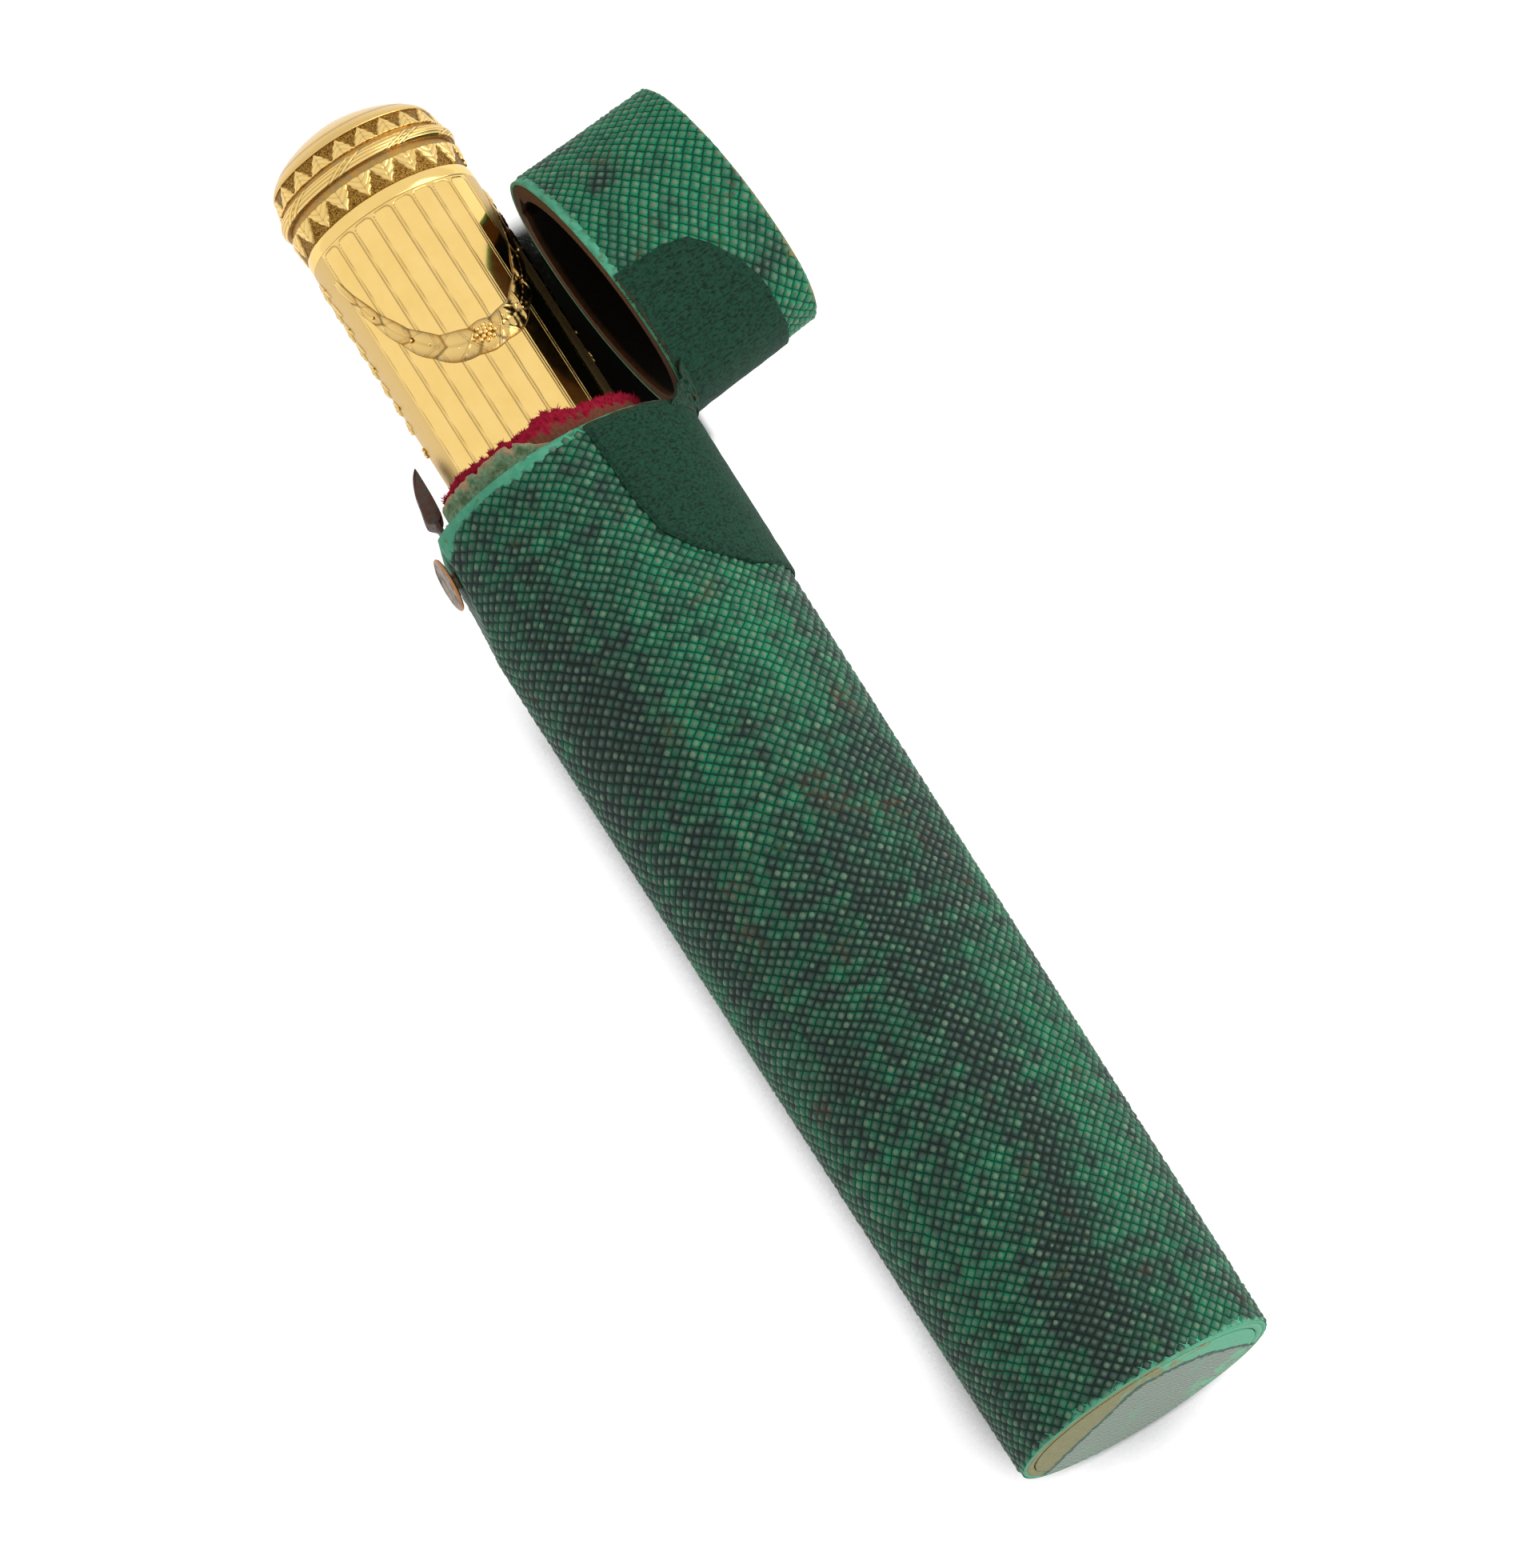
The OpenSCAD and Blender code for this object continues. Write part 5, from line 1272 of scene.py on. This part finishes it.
def makeCatch():
    points, sense = roundedPrism([(x, mouth + y) for x, y in hook["outline"]], springBox[1][2] - 0.1, hook["bevel"], 0.8)
    rows, columns = points.shape[:2]
    sides = gridFaces(rows, columns, False, True)
    ends = [np.arange(columns)[None, :], (rows - 1) * columns + np.arange(columns)[None, ::-1]]
    faces = [sides if sense < 0 else sides[:, ::-1]] + [e if sense < 0 else e[:, ::-1] for e in ends]
    strip = boxMm("catch_spring")[0][1]
    low = np.array([-12.6, strip, -springBox[1][2]])
    high = np.array([-12.2, mouth + 2.8, springBox[1][2]])
    corners = np.array([[x, y, z] for y in (low[1], high[1]) for x, z in
                        ((low[0], low[2]), (high[0], low[2]), (high[0], high[2]), (low[0], high[2]))])
    first = rows * columns
    box = np.array([[0, 1, 2, 3], [7, 6, 5, 4], [0, 4, 5, 1], [1, 5, 6, 2], [2, 6, 7, 3], [3, 7, 4, 0]]) + first
    makePiece("catchHook", np.concatenate([points.reshape(-1, 3), corners]), faces + [box], "catch", iron,
              ["catch_spring"])


makeCatch()


button = {"under": 14.35, "edge": 0.45, "tilt": 5.0}


# Button: a thin, slightly dented disc on a shank, turned about a line along X. The disc is bent up by the tilt:
# each point of it moves outwards by -z tan(tilt).
def makeButton():
    low, high = boxMm("button")
    centreY, radius = (low[1] + high[1]) / 2, (high[1] - low[1]) / 2
    under, tip = button["under"], -high[0]
    face = under + button["edge"]
    profile = np.array([(0.0, tip), (0.88, tip), (0.9, tip + 0.02), (0.9, under - 0.05), (0.95, under), (radius - 0.35, under + 0.02),
                        (radius - 0.08, under + 0.1), (radius, under + 0.2), (radius - 0.06, under + 0.34),
                        (radius - 0.25, face - 0.02), (radius - 0.5, face), (radius - 0.8, face - 0.06), (0.9, face - 0.08),
                        (0.0, face - 0.08)])
    path = np.linspace(0, len(profile) - 1, 105)
    r = np.interp(path, np.arange(len(profile)), profile[:, 0])
    x = np.interp(path, np.arange(len(profile)), profile[:, 1])
    turn = np.linspace(0, 2 * math.pi, 96, endpoint=False)
    dent = 0.05 * drift(r[:, None] * np.cos(turn), r[:, None] * np.sin(turn), 2.0, 151) * smooth(0.3, 1.5, r)[:, None]
    reach = r[:, None] + 0.05 * drift(turn[None, :] * radius, 0, 2.5, 152) * smooth(1.5, radius, r)[:, None]
    z = reach * np.sin(turn)
    tilted = smooth(under - 0.1, under, x)[:, None] * z * math.tan(math.radians(button["tilt"]))
    points = np.stack([tilted - (x[:, None] - np.abs(dent) * (x[:, None] > under + 0.3)), centreY + reach * np.cos(turn), z], -1)
    points[..., 1] = np.clip(points[..., 1], low[1], high[1])
    points[..., 2] = np.clip(points[..., 2], low[2], high[2])
    # The rim of the face is rubbed bright and painted as a highlight.
    rubbedRimAndPaintedHighlight = (smooth(radius - 0.45, radius - 0.2, r) * smooth(under, under + 0.1, x))[:, None] + 0 * turn
    makePiece("buttonHead", points, [gridFaces(len(path), 96, False, True)], "button", bronze, ["button"],
              {"rubbedRimAndPaintedHighlight": np.clip(rubbedRimAndPaintedHighlight + 0.25 * drift(turn[None, :] * 3, r[:, None], 1.5, 153) * rubbedRimAndPaintedHighlight, 0, 1)})


makeButton()

# CAD nodes that keep their shape and get a finish.
finishes = {
    wood: ["case_core", "base_board", "lid_top_board"],
    stainedWood: ["lid_core"],
    velvet: ["case_floor_pad"],
    lidLining: ["lid_lining"],
    baseDisc: ["base_skin"],
    disc: ["lid_top_skin"],
    iron: ["catch_foot", "catch_rivets", "lid_strike"],
    gold: ["etui_sleeve", "etui_foot_plate", "etui_foot_ring", "etui_foot_border", "etui_foot_band"],
}
for finish, names in finishes.items():
    for name in names:
        nodes[name].data.materials.clear()
        nodes[name].data.materials.append(finish)

print("camera, floor and light")
view = {"lens": 170.26, "from": (-82.1, -127.8, 664.1), "roll": 9.0, "tilt": -18.0, "turn": 22.6}
camera = bpy.data.cameras.new("camera")
camera.lens = view["lens"]
camera.sensor_width = 36
camera.sensor_fit = "HORIZONTAL"
camera.clip_start, camera.clip_end = 0.05, 10
viewer = bpy.data.objects.new("camera", camera)
facing = (Matrix.Rotation(math.radians(view["roll"]), 3, "Z") @ Matrix.Rotation(math.radians(view["tilt"]), 3, "X")
          @ Matrix.Rotation(math.radians(view["turn"]), 3, "Z")).transposed()
viewer.matrix_world = Matrix.Translation([c * mm for c in view["from"]]) @ facing.to_4x4()
bpy.context.scene.collection.objects.link(viewer)
bpy.context.scene.camera = viewer


# White floor. For camera, glossy and transmission rays it shines as white as the page wherever the object
# leaves it open, so that only the contact shadow stays. On the case's hinge side and from near the mouth on, that
# shadow is painted away to white, and between the etui and the lid a black patch of painted shadow is laid.
def seenRays(tree):
    rays = addNode(tree, "LightPath").outputs
    seen = addMath(tree, "MAXIMUM", rays["Is Camera Ray"], rays["Is Glossy Ray"])
    return addMath(tree, "MAXIMUM", seen, rays["Is Transmission Ray"])


def floorFinish():
    material, tree, shader = startFinish("floor white")
    shader.inputs["Roughness"].default_value = 0.9
    shader.inputs["Specular IOR Level"].default_value = 0.0
    shader.inputs["Emission Color"].default_value = (1, 1, 1, 1)
    openness = addNode(tree, "AmbientOcclusion", {"Distance": 60 * mm}, samples=16).outputs["AO"]
    axes = addNode(tree, "SeparateXYZ", {0: addNode(tree, "TexCoord").outputs["Object"]}).outputs
    softest = addRamp(tree, axes["Y"], 2 * mm, 24 * mm, 0.68, 0.54)
    seen = addRamp(tree, openness, 0.37, softest)
    # Painted light: the shadow is whitened on the hinge side and from near the mouth on.
    beside = addMath(tree, "MULTIPLY", addRamp(tree, axes["X"], 4 * mm, 9 * mm), addRamp(tree, axes["Y"], 3 * mm, 14 * mm))
    clear = addMath(tree, "MAXIMUM", addRamp(tree, axes["Y"], 84 * mm, 100 * mm), beside)
    # Painted shadow: a black patch on the floor between the etui and the lid.
    gapX = addMath(tree, "MULTIPLY", addRamp(tree, axes["X"], 8 * mm, 9.5 * mm), addRamp(tree, axes["X"], 18 * mm, 16.5 * mm))
    gapY = addMath(tree, "MULTIPLY", addRamp(tree, axes["Y"], 108 * mm, 110 * mm), addRamp(tree, axes["Y"], 141 * mm, 138 * mm))
    gap = addMath(tree, "MULTIPLY", addMath(tree, "MULTIPLY", gapX, gapY), addRamp(tree, openness, 0.56, 0.48))
    link(tree, addMix(tree, gap, (0.25, 0.25, 0.25, 1), (0.01, 0.01, 0.01, 1)), shader, "Base Color")
    seen = addMath(tree, "MULTIPLY", addMath(tree, "MAXIMUM", seen, clear), addMath(tree, "SUBTRACT", 1.0, gap))
    glow = addNode(tree, "Mix", {0: seenRays(tree), 2: 0.55, 3: seen}, data_type="FLOAT").outputs[0]
    link(tree, glow, shader, "Emission Strength")
    return material


def makeFloor():
    half, z = 1500.0, cadBox[0][2] / mm - 0.02
    corners = np.array([[-half, -half, z], [half, -half, z], [half, half, z], [-half, half, z]])
    mesh = bpy.data.meshes.new("floor")
    mesh.from_pydata((corners * mm).tolist(), [], [(0, 1, 2, 3)])
    mesh.materials.append(floorFinish())
    floor = bpy.data.objects.new("floor", mesh)
    bpy.context.scene.collection.objects.link(floor)


makeFloor()


# Soft panel aimed at the middle of the case. Its place is given along the camera's right, up and back.
def makeLamp(name, right, up, back, size, power):
    target = np.array([4.0, 70.0, 0.0])
    axes = np.array(facing)
    offset = axes @ np.array([right, up, back])
    lamp = bpy.data.lights.new(name, "AREA")
    lamp.shape, lamp.size, lamp.energy = "SQUARE", size * mm, power
    thing = bpy.data.objects.new(name, lamp)
    away = offset / np.linalg.norm(offset)
    side = np.cross([0.0, 0.3, 1.0], away)
    side /= np.linalg.norm(side)
    turn = Matrix(np.column_stack([side, np.cross(away, side), away]).tolist())
    thing.matrix_world = Matrix.Translation(((target + offset) * mm).tolist()) @ turn.to_4x4()
    bpy.context.scene.collection.objects.link(thing)


makeLamp("keyPanel", 835, 281, 571, 1000, 7.0)
world = bpy.data.worlds.new("white room")
world.use_nodes = True
air = world.node_tree.nodes["Background"]
air.inputs["Color"].default_value = (1, 1, 1, 1)
brightness = addMix(world.node_tree, seenRays(world.node_tree), (0.5, 0.5, 0.5, 1), (1, 1, 1, 1))
world.node_tree.links.new(brightness, air.inputs["Strength"])
bpy.context.scene.world = world
bpy.context.scene.view_settings.view_transform = "Standard"
